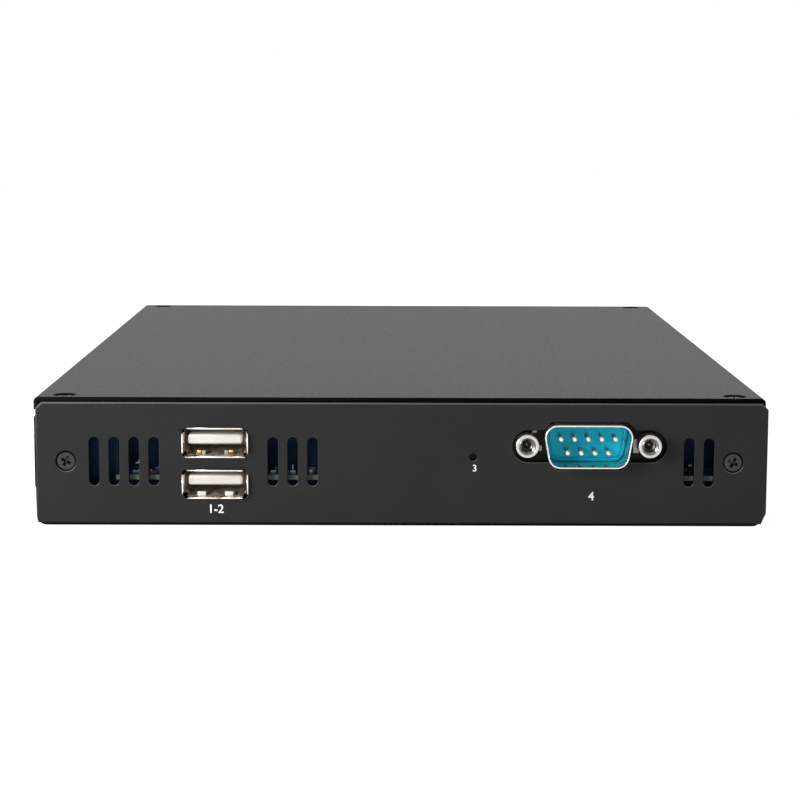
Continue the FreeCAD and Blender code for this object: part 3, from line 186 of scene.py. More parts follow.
# finishes whose look is one grain: two tones, a roughness span and a skin height, sizes in millimetres
finishes = {
    # black zinc on a pressed steel screw: darker than the paint and shinier at its edges
    "blackZincScrew": {"tones": ("#353534", "#434342"), "grain": 0.25, "rough": (0.30, 0.42), "skin": 0.003,
                       "metallic": 1.0},
    # bright zinc on turned and pressed steel: pale, slightly blue, faintly cloudy
    "zincPlatedSteel": {"tones": ("#a9adb0", "#c3c6c8"), "grain": 0.8, "rough": (0.24, 0.36), "skin": 0.002,
                        "metallic": 1.0},
    # nickel on deep-drawn sheet: warm white metal, drawn lines too fine to see but for a soft blur
    "nickelPlate": {"tones": ("#d6d3cd", "#e8e5e0"), "grain": 0.6, "rough": (0.16, 0.26), "skin": 0.0015,
                    "metallic": 1.0, "stretch": (1.0, 0.12, 1.0)},
    # nickel on folded sheet inside a connector: the same metal, brushed duller by the folding tool
    "softNickelSheet": {"tones": ("#c4bab2", "#d0c6be"), "grain": 0.8, "rough": (0.42, 0.50), "skin": 0.0004,
                        "metallic": 0.6, "stretch": (0.2, 1.0, 1.0)},
    # the same sheet over the flared lips, ironed smoother, its tones lighter as a painted highlight
    "brightNickelLip": {"tones": ("#efe9e4", "#f8f4f0"), "grain": 0.8, "rough": (0.20, 0.28), "skin": 0.0004,
                        "metallic": 1.0},
    # nickel on a turned screw: duller than the drawn shell, faintly ringed by the tool
    "turnedNickel": {"tones": ("#b6b4b1", "#cbc9c6"), "grain": 0.3, "rough": (0.22, 0.34), "skin": 0.003,
                     "metallic": 1.0},
    # cut thread, dark steel partly from the die's oil and partly painted shade in the bore: it only catches
    # light on its crests
    "oiledAndShadedThread": {"tones": ("#5a5856", "#8e8b88"), "grain": 0.35, "rough": (0.22, 0.34), "skin": 0.006,
                    "metallic": 1.0},
    # tin over brass on turned pins: pale with a pink warmth
    "tinnedPin": {"tones": ("#97887e", "#a99a90"), "grain": 0.2, "rough": (0.30, 0.40), "skin": 0.001,
                  "metallic": 1.0},
    # the same tin on the pins' turned tips, lighter and matter than on the shafts: a painted highlight that
    # keeps them white from every side
    "brightTinTip": {"tones": ("#efe0d6", "#f8ece4"), "grain": 0.2, "rough": (0.42, 0.52), "skin": 0.001,
                     "metallic": 0.3},
    # hard gold flashed over nickel on stamped contacts: warm and even
    "flashGold": {"tones": ("#d9a758", "#e8c07c"), "grain": 0.3, "rough": (0.18, 0.28), "skin": 0.001,
                  "metallic": 1.0},
    # milled and vapour-blasted aluminium: dull silver with a sandy grain
    "blastedAluminium": {"tones": ("#a6a8aa", "#b9bbbd"), "grain": 0.25, "rough": (0.42, 0.55), "skin": 0.006,
                         "metallic": 1.0},
    # moulded nylon, dyed teal: satin, lit a little from inside
    "mouldedTealNylon": {"tones": ("#00b3d2", "#00c3e4"), "grain": 0.9, "rough": (0.34, 0.46), "skin": 0.003,
                         "sheen": 0.25, "subsurface": 0.08},
    # moulded nylon, undyed: warm white, a little light passes into its thin edges
    "mouldedWhiteNylon": {"tones": ("#d6d3cc", "#dfdcd6"), "grain": 0.9, "rough": (0.40, 0.50), "skin": 0.002,
                          "subsurface": 0.15},
    # the same white nylon, darkened beige: a shaded copy, painted shade on the upper mouth's tab blocks
    "bakedNylon": {"tones": ("#9c8f82", "#aa9d90"), "grain": 0.9, "rough": (0.45, 0.55), "skin": 0.002},
    # moulded black nylon: charcoal, satin, with the mould's fine spark texture
    "mouldedBlackNylon": {"tones": ("#060606", "#0c0c0c"), "grain": 0.20, "rough": (0.34, 0.46),
                          "skin": 0.004, "sheen": 0.12},
    # transfer-moulded epoxy over a chip: dead flat charcoal with a sandy skin
    "mouldedEpoxy": {"tones": ("#17181a", "#232426"), "grain": 0.12, "rough": (0.55, 0.70), "skin": 0.004},
    # sintered ferrite and its lacquer round a coil: brownish charcoal
    "pressedFerrite": {"tones": ("#2a2826", "#37342f"), "grain": 0.3, "rough": (0.50, 0.64), "skin": 0.006},
    # filled silicone sheet that carries heat: matt blue-grey, slightly tacky
    "siliconePad": {"tones": ("#6f8593", "#7d93a0"), "grain": 0.4, "rough": (0.62, 0.78), "skin": 0.006},
    # clear amber epoxy over a wound part
    "amberEpoxy": {"tones": ("#8a3f28", "#9c5236"), "grain": 0.2, "rough": (0.25, 0.35), "skin": 0.002},
    # barium titanate capacitor body: tan ceramic, fired smooth
    "ceramicBody": {"tones": ("#4c4133", "#5e5140"), "grain": 0.15, "rough": (0.35, 0.5), "skin": 0.002},
    # glazed thick-film resistor: black glaze over a white ceramic
    "glazedResistor": {"tones": ("#16181c", "#23262c"), "grain": 0.1, "rough": (0.25, 0.4), "skin": 0.001},
    # solder-tinned terminal: bright and a little wavy
    "tinTerminal": {"tones": ("#8b979f", "#a3afb6"), "grain": 0.3, "rough": (0.30, 0.42), "skin": 0.004,
                    "metallic": 1.0},
    # navy sheet that paints the shade inside the case behind the slots: satin, a little uneven
    "navyShadeSheet": {"tones": ("#1f3757", "#274165"), "grain": 1.5, "rough": (0.35, 0.5), "skin": 0.01,
                 "sheen": 0.1},
    # white ink screened on the paint: flat, a trace of the mesh left in its skin
    "screenedWhiteInk": {"tones": ("#f4f4f2", "#fcfcfa"), "grain": 0.15, "rough": (0.55, 0.65),
                         "skin": 0.002},
    # diffusing acrylic of a light pipe: milky, clear at the edges
    "milkyAcrylic": {"tones": ("#dfe6e2", "#eef3f0"), "grain": 0.8, "rough": (0.18, 0.25), "skin": 0.001,
                     "subsurface": 0.4},
}


# the powder coat on a folded sheet and on a face panel, with its painted shade and painted highlights, in the
# order that the looks are drawn
sheetFinishes = {
    # folded sheets: painted shade, with almost no sheen, on the faces that look forwards along the front edge
    # and at its left corner; blue inner faces, painted light that throws a dim navy glow back through the
    # slots
    "blackPowderLid": {
        **powderCoat,
        # painted shade: from and to across, brightness there and there: along the edge, and at its left
        # corner
        "frontEdgeShade": ((-75.0, 20.0, 0.36, 0.13), (-75.2, -72.8, 0.62, 0.0)),
        # painted navy light: colour, a point that every inner face turns to, and the height that it ends at
        "inside": ("#3c6fb4", (0.0, 0.95, 13.0), 25.85),
        # painted shade in the countersinks: a middle to fold about, the directions that count, one screw,
        # radius, brightness within
        "countersinkShade": ((0.0, 0.95, 0.0), (1.0, 1.0, 0.0), (69.05, 95.4, 0.0), 2.5, 0.15),
    },
    # face panels: a painted highlight on soft rims where they look up, and painted shade on the walls of
    # the cut holes and on faces that look down
    "blackPowderPanel": {
        # a lit copy of the lid's coat: lighter tones and less sheen than the same powder on the lid, painted
        # light
        **powderCoat, "tones": ("#1c1c1c", "#2c2c2c"), "sheen": 0.13,
        "rims": ("#4e4e4e", 0.12),  # colour where a rim looks up, brightness of a hole's wall
        # painted shade in the gap round each screw head
        "countersinkShade": ((0.0, 0.0, 13.45), (1.0, 0.0, 1.0), (68.4, 0.0, 0.0), 2.12, 0.1),
    },
}
finishes.update(sheetFinishes)


# a new material with its shader, and the object's own coordinates to draw on
def startMaterial(name, metallic=0.0, subsurface=0.0, sheen=0.5):
    material = bpy.data.materials.new(name)
    material.use_nodes = True
    tree = material.node_tree
    shader = tree.nodes["Principled BSDF"]
    shader.inputs["Metallic"].default_value = metallic
    shader.inputs["Subsurface Weight"].default_value = subsurface
    shader.inputs["Subsurface Scale"].default_value = 0.6 * mm
    shader.inputs["Specular IOR Level"].default_value = sheen
    return material, tree, shader, addNode(tree, "ShaderNodeTexCoord").outputs


# masks for the painted shade and painted highlights of a powder-coated sheet: from and to of what each reads,
# and its strength there and there
bands = {
    "sink": (0.97, 1.0),  # shares of the radius
    "frontEdgeTurn": (0.6, 0.9, 0.0, 1.0),
    "wall": (0.12, 0.35),
    "underside": (-0.45, -0.15, 0.3, 1.0), "upward": (0.12, 0.4, 0.0, 1.0),
    "turned": (0.3, 0.45, 0.0, 1.0), "flat": (0.94, 0.985, 1.0, 0.0),
    "clear": (0.2, 0.6),
}


# what the powder coat on a sheet adds to its grain: painted shade in countersinks and along edges, painted
# highlights on rims, and blue inner faces that paint a navy light
def shadeSheet(tree, look, place, shaded):
    facing = addNode(tree, "ShaderNodeSeparateXYZ", {0: place["Normal"]}).outputs
    spot = addNode(tree, "ShaderNodeSeparateXYZ", {0: place["Object"]}).outputs
    ends = addNode(tree, "ShaderNodeMath", {0: facing["Y"]}, operation="ABSOLUTE").outputs[0]
    # painted shade in the countersinks: folding about the middle brings every countersink onto one
    origin, keep, centre, reach, least = look["countersinkShade"]
    moved = addNode(tree, "ShaderNodeVectorMath", {0: place["Object"], 1: [v * mm for v in origin]},
                    operation="SUBTRACT")
    folded = addNode(tree, "ShaderNodeVectorMath", {0: moved.outputs[0]}, operation="ABSOLUTE")
    level = addNode(tree, "ShaderNodeVectorMath", {0: folded.outputs[0], 1: keep}, operation="MULTIPLY")
    away = addNode(tree, "ShaderNodeVectorMath",
                   {0: level.outputs[0], 1: [v * k * mm for v, k in zip(centre, keep)]},
                   operation="DISTANCE")
    masks = {"sink": (away.outputs["Value"], *[share * reach * mm for share in bands["sink"]], least, 1.0)}
    # painted shade on faces that look forwards, along the lid's front edge and at its left corner
    if "frontEdgeShade" in look:
        for mask, (start, end, near, far) in zip(("run", "corner"), look["frontEdgeShade"]):
            masks[mask] = (spot["X"], start * mm, end * mm, near, far)
        masks["frontEdgeTurn"] = (ends, *bands["frontEdgeTurn"])
    # painted highlight on rims that look up, painted shade on the walls of holes and on faces that look down
    if "rims" in look:
        rim, wall = look["rims"]
        masks["wall"] = (ends, *bands["wall"], wall, 1.0)
        for mask, turn in (("underside", facing["Z"]), ("upward", facing["Z"]), ("turned", ends),
                           ("flat", ends)):
            masks[mask] = (turn, *bands[mask])
    for mask, (source, start, end, low, high) in masks.items():
        masks[mask] = addNode(tree, "ShaderNodeMapRange",
                              {"Value": source, "From Min": start, "From Max": end,
                               "To Min": low, "To Max": high}).outputs[0]
    dark = masks["sink"]
    if "frontEdgeShade" in look:
        run = addNode(tree, "ShaderNodeMath", {0: masks["run"], 1: masks["corner"]}, operation="MAXIMUM")
        edge = addNode(tree, "ShaderNodeMixRGB",
                       {0: masks["frontEdgeTurn"], 1: (1.0, 1.0, 1.0, 1.0), 2: run.outputs[0]})
        dark = addNode(tree, "ShaderNodeMath", {0: dark, 1: edge.outputs[0]}, operation="MULTIPLY").outputs[0]
    if "rims" in look:
        for mask in ("wall", "underside"):
            dark = addNode(tree, "ShaderNodeMath", {0: dark, 1: masks[mask]}, operation="MULTIPLY").outputs[0]
    shaded = addNode(tree, "ShaderNodeVectorMath", {0: shaded.outputs[0], "Scale": dark}, operation="SCALE")
    weak = addNode(tree, "ShaderNodeMath", {0: dark, 1: look["sheen"]}, operation="MULTIPLY")
    if "rims" in look:
        start, end = bands["clear"]
        clear = addNode(tree, "ShaderNodeMapRange", {"Value": dark, "From Min": start, "From Max": end})
        gleam = masks["upward"]
        for factor in (masks["turned"], masks["flat"], clear.outputs[0]):
            gleam = addNode(tree, "ShaderNodeMath", {0: gleam, 1: factor}, operation="MULTIPLY").outputs[0]
        shaded = addNode(tree, "ShaderNodeMixRGB", {0: gleam, 1: shaded.outputs[0], 2: colour(rim)})
        weak = addNode(tree, "ShaderNodeMath", {0: gleam, 1: 0.25, 2: weak.outputs[0]},
                       operation="MULTIPLY_ADD")
    # painted light: the inner faces turn blue, so that the light inside the case comes out navy
    if "inside" in look:
        navyLight, middle, top = look["inside"]
        outward = addNode(tree, "ShaderNodeVectorMath", {0: place["Object"], 1: [v * mm for v in middle]},
                          operation="SUBTRACT")
        turned = addNode(tree, "ShaderNodeVectorMath", {0: outward.outputs[0], 1: place["Normal"]},
                         operation="DOT_PRODUCT")
        below = addNode(tree, "ShaderNodeMath", {0: spot["Z"], 1: top * mm}, operation="LESS_THAN")
        inner = addNode(tree, "ShaderNodeMath", {0: turned.outputs["Value"], 1: 0.0}, operation="LESS_THAN")
        within = addNode(tree, "ShaderNodeMath", {0: below.outputs[0], 1: inner.outputs[0]},
                         operation="MULTIPLY")
        shaded = addNode(tree, "ShaderNodeMixRGB",
                         {0: within.outputs[0], 1: shaded.outputs[0], 2: colour(navyLight)})
    return shaded, weak


# fine grain with a slow change of tone over it, and the part of either noise that counts
grainWays = {
    "detail": 3.0, "roughness": 0.6, "band": (0.3, 0.7),
    "cloud": 14.0, "cloudDetail": 2.0, "cloudShift": (0.94, 1.06),
}


def makeFinish(name):
    look = finishes[name]
    material, tree, shader, place = startMaterial(
        name, look.get("metallic", 0.0), look.get("subsurface", 0.0), look.get("sheen", 0.5))
    start, end = grainWays["band"]
    spread = addNode(tree, "ShaderNodeMapping", {"Vector": place["Object"],
                                                 "Scale": look.get("stretch", (1.0, 1.0, 1.0))})
    grain = addNode(tree, "ShaderNodeTexNoise",
                    {"Vector": spread.outputs[0], "Scale": 1 / (look["grain"] * mm),
                     "Detail": grainWays["detail"], "Roughness": grainWays["roughness"]})
    cloud = addNode(tree, "ShaderNodeTexNoise",
                    {"Vector": place["Object"], "Scale": 1 / (grainWays["cloud"] * mm),
                     "Detail": grainWays["cloudDetail"]})
    tones = addNode(tree, "ShaderNodeMixRGB", {0: grain.outputs["Fac"], 1: colour(look["tones"][0]),
                                               2: colour(look["tones"][1])})
    shift = addNode(tree, "ShaderNodeMapRange",
                    {"Value": cloud.outputs["Fac"], "From Min": start, "From Max": end,
                     "To Min": grainWays["cloudShift"][0], "To Max": grainWays["cloudShift"][1]})
    shaded = addNode(tree, "ShaderNodeVectorMath", {0: tones.outputs[0], "Scale": shift.outputs[0]},
                     operation="SCALE")
    rough = addNode(tree, "ShaderNodeMapRange",
                    {"Value": grain.outputs["Fac"], "From Min": start, "From Max": end,
                     "To Min": look["rough"][0], "To Max": look["rough"][1]})
    skin = addNode(tree, "ShaderNodeBump", {"Strength": 1.0, "Distance": look["skin"] * mm,
                                            "Height": grain.outputs["Fac"]})
    if "countersinkShade" in look:
        shaded, weak = shadeSheet(tree, look, place, shaded)
        tree.links.new(weak.outputs[0], shader.inputs["Specular IOR Level"])
    tree.links.new(shaded.outputs[0], shader.inputs["Base Color"])
    tree.links.new(rough.outputs[0], shader.inputs["Roughness"])
    tree.links.new(skin.outputs[0], shader.inputs["Normal"])
    return material


board = {
    "mask": ("#0a3358", "#0e3d66"), "copper": "#165180", "edge": "#5a685f", "track": 0.6, "gap": 0.06,
    "weave": 0.5, "weaveDetail": 2.0, "weaveShare": 0.12, "rough": (0.3, 0.75), "skin": 0.01,
}


# glass-epoxy board under solder mask: deep blue, buried tracks a shade lighter, pale sawn edge
def makeBoardMaterial():
    material, tree, shader, place = startMaterial("maskedGlassEpoxy")
    tracks = addNode(tree, "ShaderNodeTexBrick", {
        "Vector": place["Object"], "Scale": 1 / (4 * board["track"] * mm), "Color1": colour(board["mask"][0]),
        "Color2": colour(board["mask"][1]), "Mortar": colour(board["copper"]),
        "Mortar Size": board["gap"]})
    weave = addNode(tree, "ShaderNodeTexNoise",
                    {"Vector": place["Object"], "Scale": 1 / (board["weave"] * mm),
                     "Detail": board["weaveDetail"]})
    turn = addNode(tree, "ShaderNodeSeparateXYZ", {0: place["Normal"]})
    upright = addNode(tree, "ShaderNodeMath", {0: turn.outputs["Z"]}, operation="ABSOLUTE")
    sawn = addNode(tree, "ShaderNodeMath", {0: upright.outputs[0], 1: 0.5}, operation="LESS_THAN")
    skin = addNode(tree, "ShaderNodeMixRGB", {0: sawn.outputs[0], 1: tracks.outputs["Color"],
                                              2: colour(board["edge"])})
    speckled = addNode(tree, "ShaderNodeMixRGB",
                       {0: board["weaveShare"], 1: skin.outputs[0], 2: weave.outputs["Color"]},
                       blend_type="OVERLAY")
    rough = addNode(tree, "ShaderNodeMapRange", {"Value": sawn.outputs[0], "To Min": board["rough"][0],
                                                 "To Max": board["rough"][1]})
    bump = addNode(tree, "ShaderNodeBump", {"Distance": board["skin"] * mm,
                                            "Height": tracks.outputs["Fac"]})
    tree.links.new(speckled.outputs[0], shader.inputs["Base Color"])
    tree.links.new(rough.outputs[0], shader.inputs["Roughness"])
    tree.links.new(bump.outputs[0], shader.inputs["Normal"])
    return material


materials = {name: makeFinish(name) for name in finishes}
materials["maskedGlassEpoxy"] = makeBoardMaterial()

nodeFinishes = {
    "blackPowderLid": ["top_cover", "chassis_tray"],
    "blackPowderPanel": ["front_panel", "rear_panel"],
    "blackZincScrew": ["cover_screws", "panel_screws"],
    "maskedGlassEpoxy": ["motherboard", "memory_module", "storage_module"],
    "zincPlatedSteel": ["board_standoffs", "board_screws", "block_screws", "storage_standoff",
                        "storage_screw", "coin_cell", "serial_bracket"],
    "mouldedEpoxy": ["processor", "memory_chips", "storage_chips", "controller_chips"],
    "siliconePad": ["die_pad", "cover_pad"],
    "blastedAluminium": ["heat_block", "filter_capacitors"],
    "mouldedBlackNylon": ["memory_socket", "storage_socket", "cell_holder", "clear_switch",
                          "network_insert_left", "network_insert_right", "video_insert", "power_jack",
                          "power_button", "power_switch", "clear_plunger"],
    "pressedFerrite": ["power_chokes"],
    "mouldedWhiteNylon": ["edge_parts", "front_port_tongues", "rear_port_tongues"],
    "nickelPlate": ["front_port_shell", "rear_port_shell", "serial_shell", "serial_jackscrews",
                    "network_shell_left", "network_shell_right", "video_shell", "power_jack_pin"],
    "flashGold": ["front_port_contacts", "rear_port_contacts", "serial_pins", "network_contacts"],
    "mouldedTealNylon": ["serial_insulator"],
    "milkyAcrylic": ["status_lamp"],
}
for name, nodes in nodeFinishes.items():
    for node in nodes:
        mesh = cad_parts[node].data
        mesh.materials.clear()
        mesh.materials.append(materials[name])
print("finishes on", sum(len(nodes) for nodes in nodeFinishes.values()), "nodes")


# an object that holds the data, linked to the scene
def stand(name, data):
    made = bpy.data.objects.new(name, data)
    scene.collection.objects.link(made)
    return made


# a shape becomes a mesh: it is drawn in millimetres, or in metres when size is 1
def meshFrom(name, shape, size=mm):
    mesh = bpy.data.meshes.new(name)
    shape.transform(Matrix.Scale(size, 4))
    shape.to_mesh(mesh)
    shape.free()
    return mesh


# a piece made from such a shape, standing where it belongs and riding on its body
def finishPiece(name, shape, finish, slot, replaces=(), **ways):
    return dressMesh(name, meshFrom(name, shape), finish, slot, replaces, **ways)


def dressMesh(name, mesh, finish, slot, replaces=(), body="case", bevel=0.0, wall=0.0, sharp=35):
    mesh.shade_smooth()
    mesh.set_sharp_from_angle(angle=math.radians(sharp))
    mesh.materials.clear()
    mesh.materials.append(materials[finish])
    piece = stand(name, mesh)
    if wall:
        skin = piece.modifiers.new("wall", "SOLIDIFY")
        skin.thickness = wall * mm
        skin.offset = -1
    if bevel:
        edge = piece.modifiers.new("edge", "BEVEL")
        edge.width = bevel * mm
        edge.segments = 3
        edge.limit_method = "ANGLE"
        edge.angle_limit = math.radians(40)
    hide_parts(*replaces)
    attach(piece, body)
    return piece


def addBox(shape, low, high):
    spots = [(x, y, z) for z in (low[2], high[2]) for y in (low[1], high[1]) for x in (low[0], high[0])]
    corner = [shape.verts.new(spot) for spot in spots]
    for side in ((0, 2, 3, 1), (4, 5, 7, 6), (0, 1, 5, 4), (1, 3, 7, 5), (3, 2, 6, 7), (2, 0, 4, 6)):
        shape.faces.new([corner[n] for n in side])


# skins loops of equal count one to the next; around joins the last loop to the first, caps close the ends
def addLoops(shape, loops, around=False, caps=False):
    rings = [[shape.verts.new(spot) for spot in loop] for loop in loops]
    pairs = list(zip(rings, rings[1:])) + ([(rings[-1], rings[0])] if around else [])
    for near, far in pairs:
        for n in range(len(near)):
            m = (n + 1) % len(near)
            shape.faces.new((near[n], near[m], far[m], far[n]))
    if caps:
        shape.faces.new(rings[0])
        shape.faces.new(list(reversed(rings[-1])))
    return rings


def faceOutwards(shape):
    bmesh.ops.remove_doubles(shape, verts=shape.verts, dist=1e-5)
    bmesh.ops.recalc_face_normals(shape, faces=shape.faces)


def ringOf(radius, count, x, y, z):
    reach = radius if callable(radius) else lambda angle: radius
    angles = [2 * math.pi * n / count for n in range(count)]
    return [(x + reach(angle) * math.cos(angle), y, z + reach(angle) * math.sin(angle)) for angle in angles]


def middleOf(node):
    low, high = (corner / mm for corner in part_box(node))
    return low, high, (low + high) / 2


# stacked ports: a folded can with flared lips, spring tabs and white tongues
port = {
    "halfWidth": 6.30, "halfHeight": 2.56, "corner": 0.6, "wall": 0.22, "cornerFrom": 4.5,
    "lipDeep": 0.95, "lipFlare": 0.58, "seamAt": 0.75, "seamGap": 0.14,
    # lengths, the low ones for the upper and lower mouth
    "lips": {"top": 11.3, "low": (12.3, 11.3), "side": 4.1},
    "tabAt": 2.9, "tabHalf": 0.95, "tabSpread": 0.5, "slit": 0.11,
    "upperRise": 0.2, "floorRise": 0.12,
    # depth behind the lips against how far the spring tab stands into the mouth
    "tab": ((0.95, 0.0), (1.15, 0.0), (1.9, 0.45), (2.4, 0.58),
            (3.3, 0.50), (4.6, 0.25), (6.0, 0.0), (17.9, 0.0)),
    # a small window in each side: depth from and to, and height about the mouth's middle
    "window": (2.6, 5.4, -0.55, 0.15),
    "pitch": 8.5, "canFrom": 2.2, "canTo": 18.3,
    "canThick": 0.22, "canGap": 0.3, "canInset": 0.4, "sideTo": 17.9, "backFrom": 17.95,
    "tongueHalf": 5.55, "tongueLow": -0.22, "tongueHigh": 1.70, "tongueFrom": 1.2,
    "rootFrom": 11.9, "rootLow": (2.5, 2.4), "rootHigh": 2.5, "rootTo": 17.8,
    # blocks that paint light on the spring tabs: white in the lower mouth, a painted highlight on the tabs'
    # bent faces,
    # beige in the upper, their painted shade, beside gold bosses that paint the contacts' reflection:
    # mouth, across from and to, above the floor from and to, rounding
    "tabLightFrom": 1.2, "tabLightTo": 1.8,
    "keys": {
        ("PortKeys", "mouldedWhiteNylon", "white_plastic"): (0, 1.95, 3.65, -0.1, 0.82, 0.1),
        ("PortStops", "bakedNylon", "white_plastic"): (1, 1.95, 2.65, 0.0, 0.86, 0.1),
        ("PortBosses", "flashGold", "gold_plate"): (1, 2.8, 3.7, 0.35, 1.0, 0.22),
    },
}


def addMouth(shape, place, level, seam):
    a, b, r = port["halfWidth"], port["halfHeight"], port["corner"]
    stations = [station for station, rise in port["tab"]]
    high, drop = b if seam else b + port["upperRise"], b - port["floorRise"]
    made = []

    def quad(*spots):
        made.append((shape.faces.new([shape.verts.new(place(*spot)) for spot in spots]), level))

    # the tabs' slits spread apart with depth
    def borders(n):
        deep = min(1.0, max(0.0, (stations[n] - stations[1]) / (stations[6] - stations[1])))
        half, cut = port["tabHalf"] + port["tabSpread"] * deep, port["slit"]
        run = []
        for tab in (-port["tabAt"], port["tabAt"]):
            run += [tab - half - cut, tab - half, tab + half, tab + half + cut]
        return [-(a - r)] + run + [a - r]

    for n in range(len(stations) - 1):
        near, far = borders(n), borders(n + 1)
        for k in range(len(near) - 1):
            if k % 4 in (1, 3) and 1 <= n <= 5:
                continue
            rise = [port["tab"][m][1] if k % 4 == 2 else 0.0 for m in (n, n + 1)]
            floor, back = level - drop + rise[0], level - drop + rise[1]
            quad((near[k], stations[n], floor), (near[k + 1], stations[n], floor),
                 (far[k + 1], stations[n + 1], back), (far[k], stations[n + 1], back))
    quad((-(a - r), stations[0], level + high), (a - r, stations[0], level + high),
         (a - r, stations[-1], level + high), (-(a - r), stations[-1], level + high))
    # sides with a small window each, and rounded corners that begin behind the lips
    for sign in (-1, 1):
        start, end, sill, head = port["window"]
        heights, cuts = (-(drop - r), sill, head, high - r), (stations[0], start, end, stations[-1])
        for n in range(3):
            for k in range(3):
                if n == 1 and k == 1:
                    continue
                quad((sign * a, cuts[n], level + heights[k]), (sign * a, cuts[n + 1], level + heights[k]),
                     (sign * a, cuts[n + 1], level + heights[k + 1]),
                     (sign * a, cuts[n], level + heights[k + 1]))
        for up in (-1, 1):
            arc = [math.radians(18 * k) for k in range(6)]
            line = [(sign * (a - r + r * math.cos(t)),
                     level + up * ((high if up > 0 else drop) - r + r * math.sin(t))) for t in arc]
            for (x1, z1), (x2, z2) in zip(line, line[1:]):
                quad((x1, port["cornerFrom"], z1), (x2, port["cornerFrom"], z2), (x2, stations[-1], z2),
                     (x1, stations[-1], z1))
    return made


# each edge of the mouth flares outwards on its own
def addLips(shape, place, level, seam):
    a, b = port["halfWidth"], port["halfHeight"]
    flare = [(port["lipFlare"] * (1 - math.cos(t)), port["lipDeep"] * (1 - math.sin(t)))
             for t in (math.radians(15 * k) for k in range(6))]
    lips = port["lips"]
    high, drop = b if seam else b + port["upperRise"], b - port["floorRise"]
    spans = [(0, 1, high, -lips["top"] / 2, lips["top"] / 2)]
    spans += [(1, sign, a, -lips["side"] / 2, lips["side"] / 2) for sign in (-1, 1)]
    low, at, gap = lips["low"][seam] / 2, port["seamAt"], port["seamGap"] / 2
    if seam:
        spans += [(0, -1, drop, -low, at - gap), (0, -1, drop, at + gap, low)]
    else:
        spans += [(0, -1, drop, -low, low)]
    made = []
    for axis, sign, edge, start, end in spans:
        for (out1, deep1), (out2, deep2) in zip(flare, flare[1:]):
            ends = ((start, out1, deep1), (end, out1, deep1), (end, out2, deep2), (start, out2, deep2))
            if axis == 0:
                spots = [(run, deep, level + sign * (edge + out)) for run, out, deep in ends]
            else:
                spots = [(sign * (edge + out), deep, level + run) for run, out, deep in ends]
            made.append((shape.faces.new([shape.verts.new(place(*spot)) for spot in spots]), level))
    return made


def makePorts(name, facing):
    low, high, middle = middleOf(f"{name}_port_shell")
    lips = low.y if facing < 0 else high.y
    lower = low.z + (high.z - low.z - port["pitch"]) / 2
    levels = (lower, lower + port["pitch"])

    # local run across, depth behind the lips and height, turned about the upright axis for the rear
    def place(across, deep, up):
        return Vector((middle.x - facing * across, lips - facing * deep, up))

    def block(shape, start, end):
        spots = [place(*start), place(*end)]
        addBox(shape, [min(p[k] for p in spots) for k in range(3)],
               [max(p[k] for p in spots) for k in range(3)])

    for fill, piece, finish, nodes in ((addMouth, "PortMouths", "softNickelSheet", [f"{name}_port_shell"]),
                                       (addLips, "PortLips", "brightNickelLip", [])):
        shape = bmesh.new()
        made = []
        for n, level in enumerate(levels):
            made += fill(shape, place, level, n == 0)
        shape.normal_update()
        for face, level in made:
            inward = Vector((middle.x, face.calc_center_median().y, level)) - face.calc_center_median()
            if face.normal.dot(inward) < 0:
                face.normal_flip()
        bmesh.ops.remove_doubles(shape, verts=shape.verts, dist=1e-4)
        finishPiece(name + piece, shape, finish, "nickel_plate", nodes, wall=port["wall"], sharp=50)

    can = bmesh.new()
    side, outside, apart = port["halfWidth"], port["halfWidth"] + port["canThick"], port["canInset"]
    for sign in (-1, 1):
        block(can, (sign * side, port["canFrom"], lower + port["halfHeight"] + port["canGap"]),
              (sign * outside, port["sideTo"], levels[1] - port["halfHeight"] - port["canGap"]))
    block(can, (-outside, port["backFrom"], low.z + apart), (outside, port["canTo"], high.z - apart))
    faceOutwards(can)
    finishPiece(f"{name}PortCan", can, "softNickelSheet", "nickel_plate", bevel=0.05)

    tongues = bmesh.new()
    half, root = port["tongueHalf"], port["rootFrom"]
    for level, gap in zip(levels, port["rootLow"]):
        block(tongues, (-half, port["tongueFrom"], level + port["tongueLow"]),
              (half, root + 0.1, level + port["tongueHigh"]))
        block(tongues, (-side + 0.05, root, level - gap),
              (side - 0.05, port["rootTo"], level + port["rootHigh"]))
    finishPiece(f"{name}PortTongues", tongues, "mouldedWhiteNylon", "white_plastic", [f"{name}_port_tongues"],
                bevel=0.42, sharp=60)

    # blocks that paint light on the spring tabs: highlights, shade and the contacts' gold reflection
    for (piece, finish, slot), (n, near, far, bottom, top, soft) in port["keys"].items():
        shape = bmesh.new()
        floor = levels[n] - port["halfHeight"] + port["floorRise"]
        for across in ((-far, -near), (near, far)):
            block(shape, (across[0], port["tabLightFrom"], floor + bottom),
                  (across[1], port["tabLightTo"], floor + top))
        faceOutwards(shape)
        finishPiece(name + piece, shape, finish, slot, bevel=soft)


makePorts("front", -1)
makePorts("rear", 1)
print("stacked ports made")


